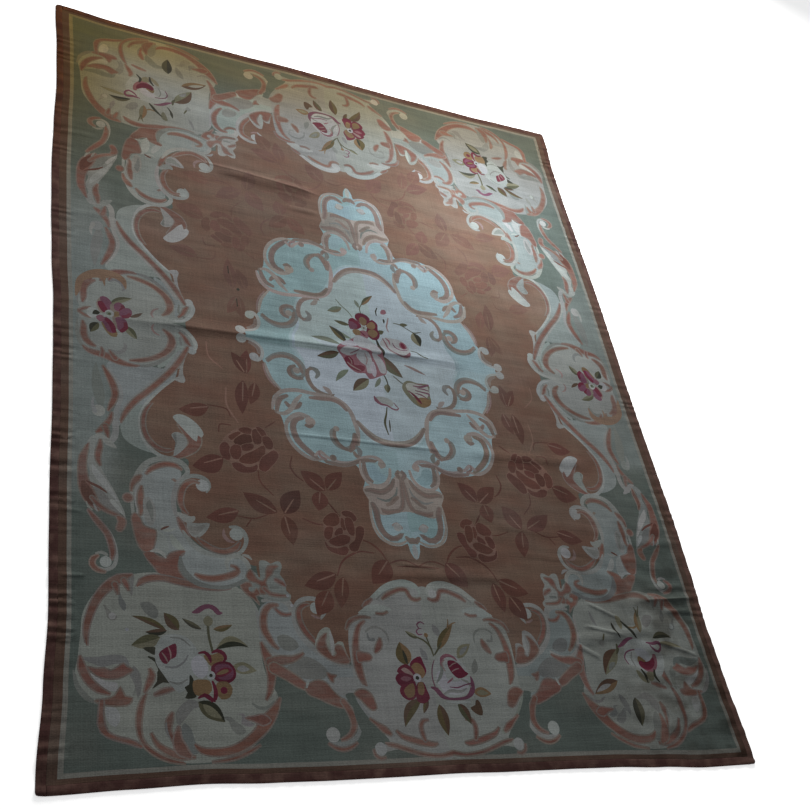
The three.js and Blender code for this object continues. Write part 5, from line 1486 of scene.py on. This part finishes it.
# painted light: the lower right side of the tape drawn lighter and browner
painted_light_lower_right = maths(tree, "MULTIPLY", ramp(tree, across, 0.80, 0.90, 0.0, 0.8),
                 ramp(tree, across.node.outputs["Y"], 0.55, 0.30))
tinted = mixed(tree, maths(tree, "MAXIMUM", rubbed, painted_light_lower_right),
               (0.040, 0.019, 0.017, 1), (0.074, 0.043, 0.035, 1))
tinted = joined(tree, "ShaderNodeVectorMath", tinted, None, None, cloth["Shade"], operation="SCALE")
# painted warm light: a yellow cast over the head end, as on the panel
tinted = stained(tree, tinted, cloth["Age"], (0.72, 0.38, 0.08, 1))
tree.links.new(tinted, shader.inputs["Base Color"])

side_seam, end_seam = PANEL_X + SEAM_GAP, PANEL_Y + SEAM_GAP
side_edge, end_edge = CUT_WIDTH / 2, CUT_LENGTH / 2
tapes = [
    tape("binding_tape_left", "binding_left", -side_edge, -side_seam, -end_edge, end_edge),
    tape("binding_tape_right", "binding_right", side_seam, side_edge, -end_edge, end_edge),
    tape("binding_tape_foot", "binding_foot", -PANEL_X, PANEL_X, -end_edge, -end_seam),
    tape("binding_tape_head", "binding_head", -PANEL_X, PANEL_X, end_seam, end_edge)]


# The floor lies half a millimetre under the carpet, so that their faces don't meet. It is pale
# and glows a little, to fade into the background.

FLOOR_REACH = 8.0
FLOOR_DROP = 0.0005
floor_mesh = bpy.data.meshes.new("floor")
floor_mesh.from_pydata([(x * FLOOR_REACH, y * FLOOR_REACH, -FLOOR_DROP)
                        for x, y in ((-1, -1), (1, -1), (1, 1), (-1, 1))], [], [(0, 1, 2, 3)])
floor = bpy.data.objects.new("floor", floor_mesh)
bpy.context.collection.objects.link(floor)
floor_paint = bpy.data.materials.new("floor")
floor_paint.use_nodes = True
floor_shader = floor_paint.node_tree.nodes["Principled BSDF"]
floor_shader.inputs["Base Color"].default_value = (0.93, 0.93, 0.93, 1)
floor_shader.inputs["Roughness"].default_value = 0.8
floor_shader.inputs["Emission Color"].default_value = (1, 1, 1, 1)
floor_shader.inputs["Emission Strength"].default_value = 0.5
floor_mesh.materials.append(floor_paint)


# The light: an even pale sky, a large soft light beyond the head end, low enough to show the
# folds, and a soft pool of light over the upper right.

world = bpy.data.worlds.new("studio")
world.use_nodes = True
sky = world.node_tree.nodes["Background"]
sky.inputs["Color"].default_value = (0.98, 0.99, 1, 1)
sky.inputs["Strength"].default_value = 0.36
bpy.context.scene.world = world
bpy.context.scene.view_settings.view_transform = "Standard"

softbox = bpy.data.objects.new("softbox", bpy.data.lights.new("softbox", "AREA"))
softbox.data.shape = "RECTANGLE"
softbox.data.size = 3.0
softbox.data.size_y = 1.4
softbox.data.energy = 285
softbox.data.color = (1.0, 0.985, 0.96)
softbox.location = (0.9, 3.1, 1.2)
softbox.rotation_euler = (1.15, 0, 2.95)
bpy.context.collection.objects.link(softbox)

pool = bpy.data.objects.new("pool", bpy.data.lights.new("pool", "SPOT"))
pool.data.energy = 600
pool.data.color = (0.90, 1.0, 1.0)
pool.data.spot_size = np.radians(25)
pool.data.spot_blend = 1.0
pool.data.shadow_soft_size = 0.3
pool.location = (0.50, 0.63, 2.6)
bpy.context.collection.objects.link(pool)


# The camera is held about two metres above the carpet, just beyond its left foot corner, and
# looks down across it.

camera = bpy.data.objects.new("camera", bpy.data.cameras.new("camera"))
camera.data.lens = 45.96
camera.data.sensor_width = 36
camera.data.clip_end = 60
camera.location = (-1.25974, -1.79420, 2.12935)
camera.rotation_euler = np.radians((37.808, -25.045, -10.590))
bpy.context.collection.objects.link(camera)
bpy.context.scene.camera = camera
